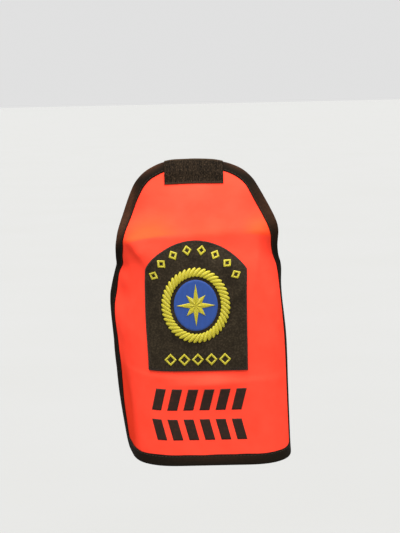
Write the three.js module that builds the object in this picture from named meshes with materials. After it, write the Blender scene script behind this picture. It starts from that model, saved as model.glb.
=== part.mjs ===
// High-visibility armband: a coated fabric panel with bound edges, a strip of hook
// tape folded over its top edge, a woven badge with a raised emblem, and an elastic
// strap that closes the band behind the arm. It is shown in its worn form.
//
// Millimetres, +Z up. The outer face of the panel looks toward -Y, and +X is the
// wearer's forward side. The origin is in the middle of the arm hollow, at half the
// height of the back strap.
//
// Every piece on the panel is drawn on its flat cut, with u across it and v up it from
// the hem, and one map, onPanel, carries (u, v) and a height off the cloth into space.
import * as THREE from 'three';

// Flat cut of the panel, over the binding
const CUT_HALF_WIDTH = 110;
const CUT_HEIGHT = 282.5;
const HEM_CORNER = 12;
const SIDE_HEIGHT = 158.4;

// Half of the cut's outline, from the middle of the hem to the middle of the top edge,
// with the radius that rounds each corner
const OUTLINE = [
  { u: 0, v: 0, radius: 0 },
  { u: CUT_HALF_WIDTH, v: 0, radius: HEM_CORNER },
  { u: CUT_HALF_WIDTH, v: SIDE_HEIGHT, radius: 76 },
  { u: 53.5, v: 262.4, radius: 32 },
  { u: 44.8, v: 272.1, radius: 42 },
  { u: 26, v: 281.9, radius: 46 },
  { u: 0, v: CUT_HEIGHT, radius: 0 },
];

// How the cloth stands at each height v: its lean away from the wearer's side in
// degrees, and for the rear (left) and front (right) halves the width that stays flat
// and the angle through which the rest turns round the arm
const BEND_WIDTH = 70;
const STANCE = [
  { v: 0, lean: -4, leftFlat: 13, leftTurn: 79, rightFlat: 41, rightTurn: 91 },
  { v: 60, lean: -5, leftFlat: 12, leftTurn: 70, rightFlat: 37.6, rightTurn: 87.5 },
  { v: 110, lean: -2.5, leftFlat: 7.5, leftTurn: 64, rightFlat: 34.5, rightTurn: 84.5 },
  { v: 150, lean: -1, leftFlat: 5.5, leftTurn: 60.5, rightFlat: 31.5, rightTurn: 86 },
  { v: 180, lean: 2.5, leftFlat: 4.5, leftTurn: 61.5, rightFlat: 14.9, rightTurn: 63.5 },
  { v: 196, lean: 10.5, leftFlat: 0, leftTurn: 51.5, rightFlat: 13, rightTurn: 57.5 },
  { v: 213, lean: 20.5, leftFlat: 0, leftTurn: 41, rightFlat: 22, rightTurn: 55 },
  { v: 224, lean: 26.5, leftFlat: 0, leftTurn: 34, rightFlat: 32, rightTurn: 41.5 },
  { v: 240, lean: 22.5, leftFlat: 0, leftTurn: 28, rightFlat: 40.5, rightTurn: 35 },
  { v: 262, lean: 24.5, leftFlat: 3, leftTurn: 11.5, rightFlat: 47.5, rightTurn: 31 },
  { v: 292, lean: 36, leftFlat: 10.5, leftTurn: -10, rightFlat: 57.5, rightTurn: 28 },
];

// Folds and dents: a ridge or hollow centred at (u, v), reaching halfLength along its
// slope (in degrees), fading over the spread across it, and rising by height
const FOLDS = [
  { name: 'shoulder fold, left end', u: -46, v: 208, slope: 0, halfLength: 54, spread: 9, height: 3 },
  { name: 'shoulder fold, right end', u: 64, v: 212, slope: 3, halfLength: 26, spread: 8.5, height: 2 },
  { name: 'pinch under left corner', u: -57, v: 200, slope: -54, halfLength: 44, spread: 9.5, height: 2.2 },
  { name: 'ridge under left corner', u: -84.5, v: 168.5, slope: 62, halfLength: 25, spread: 12, height: 0.8 },
  { name: 'ridge right of the badge', u: 56, v: 190, slope: 83, halfLength: 37, spread: 10, height: 1.8 },
  { name: 'hollow over the badge', u: 28, v: 199, slope: 88, halfLength: 18, spread: 12, height: -1.8 },
  { name: 'ridge up the shoulder', u: 0, v: 238.5, slope: 81, halfLength: 33, spread: 11.5, height: 2 },
  { name: 'hollow in the shoulder', u: 53, v: 229.5, slope: 75, halfLength: 24, spread: 8.8, height: -2.1 },
  { name: 'bulge on the left side', u: -92, v: 132.5, slope: 84, halfLength: 28, spread: 8.5, height: 1.8 },
  { name: 'dent on the left side', u: -87.5, v: 152.5, slope: 25, halfLength: 21, spread: 8.2, height: -2.2 },
  { name: 'swell left of the badge', u: -72, v: 118.5, slope: 92, halfLength: 48, spread: 15.5, height: 3 },
  { name: 'swell right of the badge', u: 69.5, v: 173, slope: 64, halfLength: 30, spread: 19.5, height: 2.4 },
  { name: 'storage crease under badge', u: 9, v: 74.5, slope: 0, halfLength: 50, spread: 6.5, height: 1.8 },
  { name: 'hollow over the left hem', u: -89, v: 60, slope: -66, halfLength: 43, spread: 10, height: -1.7 },
  { name: 'fold beside the print', u: -61, v: 28, slope: 98, halfLength: 44, spread: 9.5, height: 1.1 },
];

// Thicknesses, and the gap left between neighbours
const PANEL_THICKNESS = 1.2;
const TAPE_THICKNESS = 0.9;
const BADGE_THICKNESS = 1.2;
const EMBLEM_THICKNESS = 1.0;
const ROPE_HEIGHT = 0.9;
const HOOK_TAPE_THICKNESS = 1.1;
const STRAP_THICKNESS = 1.5;
const GAP = 0.38;
const TAPE_GAP = 0.62;

// Pieces on the panel
const BINDING_WIDTH = 9;
const HEM_BINDING_RISE = 16;
const NOSE_RADIUS = 0.7;
const NOSE_CHAMFER = 0.2;
const HOOK_TAPE = { halfWidth: 26.5, frontFoot: 258.7, backFoot: 239, step: 11.5, ramp: 8 };
const BADGE = { halfWidth: 44.7, bottom: 88, side: 91.4, height: 117.4 };
const EMBLEM = { v: 147.8, halfWidth: 30, halfHeight: 34, ropeWidth: 9 };

// Strap behind the arm: between the heights bottom and top of the cut, lapped inside
// both side edges, and reaching behind the front face by the depth of the band
const STRAP = { bottom: 60, top: 100, lap: 14, reach: 98 };
const HOLLOW_CENTRE = { x: 5, y: 60, z: 80 };

// Mesh steps
const OUTLINE_STEP = 7;
const ARC_TURN = 22.5;
const PANEL_COLUMNS = 22;
const BADGE_COLUMNS = 12;
const BADGE_SIDE_ROWS = 10;
const BADGE_ARCH_ROWS = 8;
const ARCH_END = 87;
const EMBLEM_STEPS = 16;
const EMBLEM_END = 82;
const HOOK_TAPE_COLUMNS = 8;
const LAP_STEPS = 2;
const WALK_STEPS = 24;
const STRAP_STEPS = 26;
const PROBE = 0.5;

// The panel's rows run square to the outline up to this height of the cut, and turn
// level over the next stretch
const SQUARE_UP_TO = 236;
const SQUARE_FADE = 25;
const WIDEST_MIDDLE = 0.9;

const radians = THREE.MathUtils.degToRad;
const ease = (t) => THREE.MathUtils.smoothstep(t, 0, 1);

/** Value of one column of the stance table at height v, on a smooth curve. */
function stance(column, v) {
  const last = STANCE.length - 1;
  let i = 0;
  while (i < last - 1 && v > STANCE[i + 1].v) i += 1;
  const slopeAt = (k) => {
    const a = STANCE[Math.max(k - 1, 0)];
    const b = STANCE[Math.min(k + 1, last)];
    return (b[column] - a[column]) / (b.v - a.v);
  };
  const span = STANCE[i + 1].v - STANCE[i].v;
  const t = THREE.MathUtils.clamp((v - STANCE[i].v) / span, 0, 1);
  const [t2, t3] = [t * t, t * t * t];
  return (2 * t3 - 3 * t2 + 1) * STANCE[i][column] + (t3 - 2 * t2 + t) * span * slopeAt(i)
    + (3 * t2 - 2 * t3) * STANCE[i + 1][column] + (t3 - t2) * span * slopeAt(i + 1);
}

/** The cut's middle line: its place at each whole millimetre of v. */
const middleLine = (() => {
  const line = [new THREE.Vector3(0, 0, 0)];
  for (let v = 0; v < CUT_HEIGHT + 20; v += 1) {
    const lean = radians((stance('lean', v) + stance('lean', v + 1)) / 2);
    const last = line[line.length - 1];
    line.push(new THREE.Vector3(0, last.y + Math.sin(lean), last.z + Math.cos(lean)));
  }
  return line;
})();

/** Point of the bare surface at (u, v), before folds and thickness. */
function bareSurface(u, v) {
  const side = u < 0 ? 'left' : 'right';
  const flat = stance(`${side}Flat`, v);
  const turn = radians(stance(`${side}Turn`, v));
  const lean = radians(stance('lean', v));
  const step = Math.abs(u) / WALK_STEPS;
  let across = 0;
  let deep = 0;
  for (let i = 0; i < WALK_STEPS; i += 1) {
    const heading = turn * ease(((i + 0.5) * step - flat) / BEND_WIDTH);
    across += Math.cos(heading) * step;
    deep += Math.sin(heading) * step;
  }
  const row = THREE.MathUtils.clamp(v, 0, middleLine.length - 2);
  const below = Math.floor(row);
  const middle = middleLine[below].clone().lerp(middleLine[below + 1], row - below);
  if (v < 0) middle.z += v;
  return new THREE.Vector3(
    Math.sign(u) * across - HOLLOW_CENTRE.x,
    middle.y + deep * Math.cos(lean) - HOLLOW_CENTRE.y,
    middle.z - deep * Math.sin(lean) - HOLLOW_CENTRE.z,
  );
}

/** Height of the folds and dents at (u, v). */
function foldHeight(u, v) {
  let height = 0;
  for (const fold of FOLDS) {
    const slope = radians(fold.slope);
    const along = (u - fold.u) * Math.cos(slope) + (v - fold.v) * Math.sin(slope);
    const off = (v - fold.v) * Math.cos(slope) - (u - fold.u) * Math.sin(slope);
    const end = ease(1 - Math.abs(along) / fold.halfLength);
    height += fold.height * end * Math.exp(-((off / fold.spread) ** 2) / 2);
  }
  return height;
}

/** Point at (u, v) on the panel, raised by the given height off its middle surface. */
function onPanel(u, v, height) {
  const across = bareSurface(u + PROBE, v).sub(bareSurface(u - PROBE, v));
  const up = bareSurface(u, v + PROBE).sub(bareSurface(u, v - PROBE));
  const normal = across.cross(up).normalize();
  return bareSurface(u, v).addScaledVector(normal, height + foldHeight(u, v));
}

/** Half of the outline, from hem to top, as points with inward normals. */
function halfOutline() {
  const points = [];
  const addLine = (from, to) => {
    const along = to.clone().sub(from);
    const count = Math.max(1, Math.round(along.length() / OUTLINE_STEP));
    const inward = new THREE.Vector2(-along.y, along.x).normalize();
    for (let i = 0; i < count; i += 1) {
      points.push({ at: from.clone().addScaledVector(along, i / count), inward });
    }
  };
  let from = new THREE.Vector2(OUTLINE[0].u, OUTLINE[0].v);
  for (let i = 1; i < OUTLINE.length; i += 1) {
    const corner = new THREE.Vector2(OUTLINE[i].u, OUTLINE[i].v);
    const { radius } = OUTLINE[i];
    if (radius === 0) {
      addLine(from, corner);
      points.push({ at: corner, inward: new THREE.Vector2(0, -1) });
      continue;
    }
    const back = new THREE.Vector2(OUTLINE[i - 1].u, OUTLINE[i - 1].v).sub(corner).normalize();
    const ahead = new THREE.Vector2(OUTLINE[i + 1].u, OUTLINE[i + 1].v).sub(corner).normalize();
    const halfAngle = Math.acos(back.dot(ahead)) / 2;
    const start = corner.clone().addScaledVector(back, radius / Math.tan(halfAngle));
    const middle = back.clone().add(ahead).normalize();
    const centre = corner.clone().addScaledVector(middle, radius / Math.sin(halfAngle));
    addLine(from, start);
    const turn = Math.PI - 2 * halfAngle;
    const count = Math.round(Math.max((turn * radius) / OUTLINE_STEP, turn / radians(ARC_TURN)));
    for (let k = 0; k < count; k += 1) {
      const at = start.clone().rotateAround(centre, (turn * k) / count);
      points.push({ at, inward: centre.clone().sub(at).normalize() });
    }
    from = corner.clone().addScaledVector(ahead, radius / Math.tan(halfAngle));
  }
  return points;
}

/**
 * Closed wall between two grids of points, outer[row][column] and inner[row][column],
 * whose outer face looks to the right-hand side of columns crossed with rows.
 */
function wallGeometry(outer, inner) {
  const rows = outer.length;
  const columns = outer[0].length;
  const positions = [];
  for (const grid of [outer, inner]) {
    for (const row of grid) for (const p of row) positions.push(p.x, p.y, p.z);
  }
  const index = [];
  const a = (r, c) => r * columns + c;
  const b = (r, c) => rows * columns + r * columns + c;
  const quad = (p, q, r, s) => index.push(p, q, r, p, r, s);
  for (let r = 0; r < rows - 1; r += 1) {
    for (let c = 0; c < columns - 1; c += 1) {
      quad(a(r, c), a(r, c + 1), a(r + 1, c + 1), a(r + 1, c));
      quad(b(r, c), b(r + 1, c), b(r + 1, c + 1), b(r, c + 1));
    }
    quad(a(r, 0), a(r + 1, 0), b(r + 1, 0), b(r, 0));
    quad(a(r, columns - 1), b(r, columns - 1), b(r + 1, columns - 1), a(r + 1, columns - 1));
  }
  for (let c = 0; c < columns - 1; c += 1) {
    quad(a(0, c), b(0, c), b(0, c + 1), a(0, c + 1));
    quad(a(rows - 1, c), a(rows - 1, c + 1), b(rows - 1, c + 1), b(rows - 1, c));
  }
  const geometry = new THREE.BufferGeometry();
  geometry.setAttribute('position', new THREE.Float32BufferAttribute(positions, 3));
  geometry.setIndex(index);
  geometry.computeVertexNormals();
  return geometry;
}

/** Wall on the panel, from rows of (u, v) points, between two heights. */
function layerGeometry(rows, bottom, top) {
  const grid = (height) => rows.map((row) => row.map(([u, v]) => onPanel(u, v, height)));
  return wallGeometry(grid(top), grid(bottom));
}

/** Level row of points at height v, evenly spread over its width. */
function levelRow(halfWidth, v, columns) {
  return Array.from({ length: columns + 1 }, (_, c) => [halfWidth * ((2 * c) / columns - 1), v]);
}

/** Wall whose two faces are given, at each station, as lists of (u, v, height). */
function profileGeometry(stations) {
  const place = (face) => stations.map((station) => station[face].map(
    ([u, v, height]) => onPanel(u, v, height),
  ));
  return wallGeometry(place('outer'), place('inner'));
}

/** Profile of a tape's front half followed by its mirror image behind the cloth. */
const bothLegs = (front) => [...front, ...front.map(([along, height]) => [along, -height]).reverse()];

/** Folded tape round an edge, as pairs of inset from the edge and height. */
function foldedTape() {
  const inside = PANEL_THICKNESS / 2 + TAPE_GAP;
  const outside = inside + TAPE_THICKNESS;
  const half = {
    outer: [[BINDING_WIDTH, outside], [NOSE_RADIUS, outside], [0, outside - NOSE_RADIUS]],
    inner: [
      [BINDING_WIDTH, inside],
      [TAPE_THICKNESS + NOSE_CHAMFER, inside],
      [TAPE_THICKNESS, inside - NOSE_CHAMFER],
    ],
  };
  return { outer: bothLegs(half.outer), inner: bothLegs(half.inner) };
}

/**
 * Panel: the coated cloth itself, cut short of the binding's fold. Beside the edge its
 * rows run square to the outline, as the binding's own do, so that the two stay parallel.
 * The lowest row reaches from one rounded hem corner to the other.
 */
function panelGeometry(outline) {
  const inset = TAPE_THICKNESS + GAP;
  const band = BINDING_WIDTH + GAP;
  const aboveHem = ({ at }) => at.x > CUT_HALF_WIDTH - HEM_CORNER - GAP || at.y > HEM_CORNER;
  const rows = outline.filter(aboveHem).slice(0, -1).map(({ at, inward }) => {
    const edge = [at.x + inward.x * inset, at.y + inward.y * inset];
    const level = THREE.MathUtils.smoothstep(at.y, SQUARE_UP_TO, SQUARE_UP_TO + SQUARE_FADE);
    const drop = Math.min(inward.y, 0) * band * (1 - level);
    const reach = Math.min(at.x + inward.x * band, edge[0] * WIDEST_MIDDLE);
    const middle = levelRow(reach, edge[1] + drop, PANEL_COLUMNS);
    return [[-edge[0], edge[1]], ...middle, edge];
  });
  return layerGeometry(rows, -PANEL_THICKNESS / 2, PANEL_THICKNESS / 2);
}

/** Folded tape along stations of the right half of the outline and their mirror images. */
function bindingGeometry(stations) {
  const tape = foldedTape();
  const mirrored = stations.map(({ at, inward }) => ({
    at: new THREE.Vector2(-at.x, at.y),
    inward: new THREE.Vector2(-inward.x, inward.y),
  }));
  const onMiddle = ({ at }) => at.x === 0;
  const whole = onMiddle(stations[0])
    ? [...mirrored.slice(1).reverse(), ...stations]
    : [...stations, ...mirrored.slice(0, -1).reverse()];
  return profileGeometry(whole.map(({ at, inward }) => {
    const face = (name) => tape[name].map(
      ([inset, height]) => [at.x + inward.x * inset, at.y + inward.y * inset, height],
    );
    return { outer: face('outer'), inner: face('inner') };
  }));
}

/** Place on the straight part of the right side edge. */
const onSide = (v) => ({ at: new THREE.Vector2(CUT_HALF_WIDTH, v), inward: new THREE.Vector2(-1, 0) });

/** Binding of both sides and the top. */
function edgeBindingGeometry(outline) {
  const foot = HEM_BINDING_RISE + GAP;
  return bindingGeometry([
    onSide(foot),
    ...outline.filter(({ at }) => at.y > foot + OUTLINE_STEP / 4),
  ]);
}

/** Binding of the hem, carried round both corners and up the side edges. */
function hemBindingGeometry(outline) {
  return bindingGeometry([
    ...outline.filter(({ at }) => at.y < HEM_BINDING_RISE - OUTLINE_STEP / 4),
    onSide(HEM_BINDING_RISE),
  ]);
}

/** Height of the top edge at u, on the same chords as the binding. */
function topEdge(outline, u) {
  const next = outline.findIndex(({ at }) => at.y > CUT_HEIGHT / 2 && at.x <= Math.abs(u));
  const [outer, inner] = [outline[next - 1].at, outline[next].at];
  return THREE.MathUtils.mapLinear(Math.abs(u), outer.x, inner.x, outer.y, inner.y);
}

/** Hook tape: down the front over the binding, round the top edge and down the back. */
function hookTapeGeometry(outline) {
  const onCloth = PANEL_THICKNESS / 2 + GAP;
  const onBinding = PANEL_THICKNESS / 2 + TAPE_GAP + TAPE_THICKNESS + GAP;
  const { frontFoot, backFoot, ramp, step } = HOOK_TAPE;
  const face = (u, lift) => {
    const edge = topEdge(outline, u);
    const points = bothLegs([
      [frontFoot, onCloth + lift],
      [edge - step - ramp - lift / 2, onCloth + lift],
      [edge - step - lift / 2, onBinding + lift],
      [edge - NOSE_RADIUS, onBinding + lift],
      [edge + GAP + lift, onBinding - NOSE_RADIUS + lift / 2],
    ]);
    points[points.length - 1][0] = backFoot;
    return points.map(([v, height]) => [u, v, height]);
  };
  const stations = Array.from({ length: HOOK_TAPE_COLUMNS + 1 }, (_, i) => {
    const u = HOOK_TAPE.halfWidth * (1 - (2 * i) / HOOK_TAPE_COLUMNS);
    return { outer: face(u, HOOK_TAPE_THICKNESS), inner: face(u, 0) };
  });
  return profileGeometry(stations);
}

/** Woven badge: straight sides under an arched top. */
function badgeGeometry() {
  const { halfWidth, bottom, side, height } = BADGE;
  const rise = height - side;
  const radius = (halfWidth ** 2 + rise ** 2) / (2 * rise);
  const centre = bottom + height - radius;
  const start = Math.acos(halfWidth / radius);
  const rows = Array.from(
    { length: BADGE_SIDE_ROWS },
    (_, i) => levelRow(halfWidth, bottom + (side * i) / BADGE_SIDE_ROWS, BADGE_COLUMNS),
  );
  for (let i = 0; i <= BADGE_ARCH_ROWS; i += 1) {
    const angle = THREE.MathUtils.lerp(start, radians(ARCH_END), i / BADGE_ARCH_ROWS);
    rows.push(levelRow(radius * Math.cos(angle), centre + radius * Math.sin(angle), BADGE_COLUMNS));
  }
  const under = PANEL_THICKNESS / 2 + GAP;
  return layerGeometry(rows, under, under + BADGE_THICKNESS);
}

/** Raised emblem on the badge: an oval field inside a rounded rope border. */
function emblemGeometry() {
  const under = PANEL_THICKNESS / 2 + BADGE_THICKNESS + 2 * GAP;
  const { halfWidth, halfHeight, ropeWidth } = EMBLEM;
  const end = radians(EMBLEM_END);
  const top = [];
  const bottom = [];
  for (let r = 0; r <= EMBLEM_STEPS; r += 1) {
    const angle = end * ((2 * r) / EMBLEM_STEPS - 1);
    const v = EMBLEM.v + (halfHeight * Math.sin(angle)) / Math.sin(end);
    const reach = halfWidth * Math.cos(angle);
    const [upper, lower] = [[], []];
    for (let c = 0; c <= EMBLEM_STEPS; c += 1) {
      const u = reach * Math.sin((c / EMBLEM_STEPS - 0.5) * Math.PI);
      const fromCentre = Math.hypot(u / halfWidth, (v - EMBLEM.v) / halfHeight);
      const inRope = THREE.MathUtils.clamp((1 - fromCentre) * (halfWidth / ropeWidth), 0, 1);
      const crown = ROPE_HEIGHT * Math.sin(inRope * Math.PI);
      upper.push(onPanel(u, v, under + EMBLEM_THICKNESS + crown));
      lower.push(onPanel(u, v, under));
    }
    top.push(upper);
    bottom.push(lower);
  }
  return wallGeometry(top, bottom);
}

/** Elastic strap: lapped inside both side edges and carried round behind the arm. */
function backStrapGeometry() {
  const depth = PANEL_THICKNESS / 2 + TAPE_GAP + TAPE_THICKNESS + GAP + STRAP_THICKNESS / 2;
  const heights = [STRAP.top, (STRAP.bottom + STRAP.top) / 2, STRAP.bottom];
  const lines = heights.map((v) => {
    const lap = (side) => Array.from({ length: LAP_STEPS }, (_, i) => {
      const inset = STRAP.lap * (1 - i / LAP_STEPS);
      return onPanel(side * (CUT_HALF_WIDTH - inset), v, -depth);
    });
    const edge = (side) => {
      const at = onPanel(side * CUT_HALF_WIDTH, v, -depth);
      const before = onPanel(side * (CUT_HALF_WIDTH - 1), v, -depth);
      return { at, ahead: at.clone().sub(before).normalize() };
    };
    const [start, finish] = [edge(1), edge(-1)];
    const loop = new THREE.CubicBezierCurve3(
      start.at,
      start.at.clone().addScaledVector(start.ahead, STRAP.reach),
      finish.at.clone().addScaledVector(finish.ahead, STRAP.reach),
      finish.at,
    );
    return [...lap(1), ...loop.getSpacedPoints(STRAP_STEPS), ...lap(-1).reverse()];
  });
  const count = lines[0].length;
  const grid = (offset) => Array.from({ length: count }, (_, k) => lines.map((line) => {
    const along = line[Math.min(k + 1, count - 1)].clone().sub(line[Math.max(k - 1, 0)]);
    const up = lines[0][k].clone().sub(lines[2][k]);
    return line[k].clone().addScaledVector(along.cross(up).normalize(), offset);
  }));
  return wallGeometry(grid(STRAP_THICKNESS / 2), grid(-STRAP_THICKNESS / 2));
}

/** Finish of one piece. */
const finish = (color, roughness) => new THREE.MeshStandardMaterial({ color, roughness, metalness: 0 });
const FINISHES = {
  coatedCloth: finish('#ff5241', 0.55),
  bindingTape: finish('#2b221b', 0.8),
  hookTape: finish('#352d23', 0.85),
  badgeCloth: finish('#332b22', 0.85),
  embroidery: finish('#2f57a5', 0.7),
  elastic: finish('#26211c', 0.85),
};

const outline = halfOutline();
const PIECES = [
  { name: 'panel', geometry: panelGeometry(outline), material: FINISHES.coatedCloth },
  { name: 'edge_binding', geometry: edgeBindingGeometry(outline), material: FINISHES.bindingTape },
  { name: 'hem_binding', geometry: hemBindingGeometry(outline), material: FINISHES.bindingTape },
  { name: 'hook_tape', geometry: hookTapeGeometry(outline), material: FINISHES.hookTape },
  { name: 'badge', geometry: badgeGeometry(), material: FINISHES.badgeCloth },
  { name: 'badge_emblem', geometry: emblemGeometry(), material: FINISHES.embroidery },
  { name: 'back_strap', geometry: backStrapGeometry(), material: FINISHES.elastic },
];

const armband = new THREE.Group();
for (const { name, geometry, material } of PIECES) {
  const mesh = new THREE.Mesh(geometry, material);
  mesh.name = name;
  armband.add(mesh);
}

export default armband;
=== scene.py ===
import logging
import math
from collections.abc import Callable
from dataclasses import dataclass
from enum import Enum
from typing import NamedTuple

import bpy
import numpy as np
from mathutils import Matrix, Vector


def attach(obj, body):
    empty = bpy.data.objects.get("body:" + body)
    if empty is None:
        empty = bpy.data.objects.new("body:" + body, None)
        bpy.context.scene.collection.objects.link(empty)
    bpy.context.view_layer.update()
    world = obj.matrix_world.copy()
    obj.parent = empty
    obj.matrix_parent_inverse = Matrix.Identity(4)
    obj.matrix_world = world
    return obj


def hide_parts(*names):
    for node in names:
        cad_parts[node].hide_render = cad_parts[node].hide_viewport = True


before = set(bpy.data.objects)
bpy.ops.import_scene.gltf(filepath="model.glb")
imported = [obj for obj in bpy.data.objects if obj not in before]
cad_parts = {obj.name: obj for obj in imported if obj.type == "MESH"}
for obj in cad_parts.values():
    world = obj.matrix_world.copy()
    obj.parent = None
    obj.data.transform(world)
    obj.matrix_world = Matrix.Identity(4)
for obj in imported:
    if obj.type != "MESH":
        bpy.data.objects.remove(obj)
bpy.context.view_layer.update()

MM = 0.001
BODY = "root"
LOG = logging.getLogger("armband")

# Lengths below are millimetres of the flat cut or of the row frame, and become metres
# when a mesh is made. "lay" is a point attribute that the patterns follow: a place along and
# one across in millimetres, and third, on the cloth and the binding tape, the share of painted
# highlight or painted shade there, and on the hook tape how bare it is near the top edge and the feet.
Points = np.ndarray
Piece = bpy.types.Object
Material = bpy.types.Material
Tree = bpy.types.NodeTree
Socket = bpy.types.NodeSocket


def linear(code: str) -> tuple[float, float, float, float]:
    """Turn an sRGB hex colour into the linear colour that a shader takes.

    Args:
        code: six hex digits with a leading hash sign.

    Returns:
        Linear red, green, blue and an alpha of 1.
    """
    parts = [int(code[i:i + 2], 16) / 255 for i in (1, 3, 5)]
    low_end = 0.04045
    red, green, blue = (
        part / 12.92 if part <= low_end else ((part + 0.055) / 1.055) ** 2.4 for part in parts
    )
    return red, green, blue, 1.0


def add_node(tree: Tree, kind: str, inputs: dict | None = None, **settings: object) -> bpy.types.Node:
    """Add one node to a tree.

    Args:
        tree: shader or geometry tree that takes the node.
        kind: the node's type name.
        inputs: value or output socket for each input, by its name or index.
        settings: the node's own properties.

    Returns:
        The new node.
    """
    node = tree.nodes.new(kind)
    for name, value in settings.items():
        setattr(node, name, value)
    for name, value in (inputs or {}).items():
        if isinstance(value, Socket):
            tree.links.new(value, node.inputs[name])
        else:
            node.inputs[name].default_value = value
    return node


def ease(t: Points) -> Points:
    """Smooth step from 0 to 1."""
    t = np.clip(t, 0, 1)
    return t * t * (3 - 2 * t)


def unit(vectors: Points) -> Points:
    """Bring each vector to a length of 1."""
    return vectors / np.linalg.norm(vectors, axis=-1, keepdims=True)


def travel(line: Points) -> Points:
    """Distance of each point of a line from its start, along the line."""
    return np.concatenate([[0], np.cumsum(np.linalg.norm(np.diff(line, axis=0), axis=1))])


def resample(line: Points, marks: Points, wanted: Points) -> Points:
    """Read a line of points at other places along it.

    Args:
        line: the points.
        marks: place of each point along the line.
        wanted: places to read.

    Returns:
        The points at those places.
    """
    return np.stack([np.interp(wanted, marks, column) for column in line.T], axis=1)


def between(grid: Points, row: float, column: float) -> Points:
    """Read a grid between its rows and columns.

    Args:
        grid: rows by columns by three.
        row: place along the rows, in rows.
        column: place along the columns, in columns.

    Returns:
        The mixed value.
    """
    r, c = math.floor(row), math.floor(column)
    below, beside = min(r + 1, len(grid) - 1), min(c + 1, grid.shape[1] - 1)
    down, over = row - r, column - c
    near = grid[r, c] * (1 - down) + grid[below, c] * down
    far = grid[r, beside] * (1 - down) + grid[below, beside] * down
    return near * (1 - over) + far * over


def put_in_scene(name: str, data: bpy.types.ID) -> Piece:
    """Make an object and link it to the scene.

    Args:
        name: the object's name.
        data: its mesh, light or camera.

    Returns:
        The object.
    """
    thing = bpy.data.objects.new(name, data)
    bpy.context.scene.collection.objects.link(thing)
    return thing


def store_vectors(mesh: bpy.types.Mesh, label: str, vectors: Points) -> None:
    """Store one vector for each point of a mesh.

    Args:
        mesh: the mesh.
        label: the attribute's name.
        vectors: one row of three for each point.
    """
    attribute = mesh.attributes.new(label, "FLOAT_VECTOR", "POINT")
    attribute.data.foreach_set("vector", vectors.astype(np.float32).ravel())


class Stance(NamedTuple):
    """How the cloth stands at one height of the cut: angles in degrees, widths in mm."""

    v: float
    lean: float
    left_flat: float
    left_turn: float
    right_flat: float
    right_turn: float


class Crease(NamedTuple):
    """A ridge: middle, slope in degrees, half length, foot above and below, height, crest's radius."""

    u: float
    v: float
    slope: float
    half_length: float
    above: float
    below: float
    height: float
    crest: float = 1.2


class Fold(NamedTuple):
    """A soft ridge or hollow: its middle, slope in degrees, half length, spread and height."""

    u: float
    v: float
    slope: float
    half_length: float
    spread: float
    height: float


class Corner(NamedTuple):
    """A corner of the half outline and the radius that rounds it."""

    u: float
    v: float
    radius: float


STANCES = (
    Stance(0, -4, 13, 79, 41, 91),
    Stance(60, -5, 12, 70, 37.6, 87.5),
    Stance(110, -2.5, 7.5, 64, 34.5, 84.5),
    Stance(150, -1, 5.5, 60.5, 31.5, 86),
    Stance(180, 2.5, 4.5, 61.5, 14.9, 63.5),
    Stance(196, 10.5, 0, 51.5, 13, 57.5),
    Stance(213, 20.5, 0, 41, 22, 55),
    Stance(224, 26.5, 0, 34, 32, 41.5),
    Stance(240, 22.5, 0, 28, 40.5, 35),
    Stance(262, 24.5, 3, 11.5, 47.5, 31),
    Stance(292, 36, 10.5, -10, 57.5, 28),
)
CREASES = (
    Crease(-43.5, 209.8, -5, 48, 26, 43, 3.2),
    Crease(62.8, 215, 3, 25, 10.5, 11, 2.4),
    Crease(-2.5, 80, -3, 118, 5.8, 40.5, 1.15),
    Crease(8.5, 75.5, 1, 46, 14.2, 27.5, 3.7),
    Crease(-61.3, 210.7, -34, 18, 15.7, 8.4, 2.4, 3.0),
    Crease(-50.5, 196, -63, 21, 19.5, 6.2, 3.8, 3.0),
    Crease(-59, 28.5, 98, 44, 15.2, 24, 1.3),
    Crease(55, 190.2, 83, 38, 18, 24.5, 3.4),
)
# Painted highlight and painted shade on the cloth: brighter and more orange on the shelf
# above the crease, where the cloth faces the light, and darker low on the left side and
# under the crease's left end. The last column is the share of the painted highlight colour,
# or of the painted shade colour where it is below 0
CLOTH_PAINTED_LIGHT = (
    Crease(-46, 211.5, 0, 40, 34, 1.6, 1.5),
    Crease(62, 213.5, 3, 25, 26, 1.6, 1.4),
    Crease(10, 212, 0, 60, 30, 8, 0.25),
    Crease(-91, 28, 100, 84, 60, 38, -2.7),
    Crease(-62, 199, -58, 20, 9, 7, -0.3),
)
# Painted highlight on the binding tape: brown where it catches the light
TAPE_PAINTED_HIGHLIGHT = (
    Crease(-68.5, 235.5, 61.5, 36, 12, 11, 3.6),
    Crease(68.5, 234, -61.5, 38, 28, 28, 0.62),
    Crease(14, 6.5, 0, 62, 6, 7, 0.24),
    Crease(-37, 277, 31, 30, 7, 7, 1.1),
    Crease(38, 277, -32, 30, 7, 7, 0.9),
)
FOLDS = (
    Fold(-89.5, 131, 84, 29, 9.2, 2.5),
    Fold(0.7, 239.2, 83, 34, 12.5, 3.1),
    Fold(17.2, 228.5, 91, 23, 6.3, -1.7),
    Fold(35, 239.8, 82, 35, 7.2, 1.6),
    Fold(-81, 181, 31, 12, 5.4, -2.0),
    Fold(-88.2, 152.5, 26, 20, 8, -2.8),
    Fold(4, 210.4, 3, 54, 3.6, 1.0),
    Fold(-48.5, 197.3, -60, 43, 9.6, 2.6),
    Fold(53.2, 229.3, 76, 26, 9.2, -2.8),
    Fold(24.5, 199.3, 88, 19, 13.4, -2.8),
    Fold(-84.4, 169.5, 64, 25, 11.5, 2.0),
    Fold(-72, 118, 94, 49, 15.8, 3.5),
    Fold(-88.3, 61, -70, 45, 9.7, -2.0),
    Fold(70.8, 173.8, 63, 31, 20, 3.2),
    Fold(62, 142, 81, 37, 13, -0.7),
    Fold(27, 286, 90, 26, 9, -1.9),
)
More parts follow.
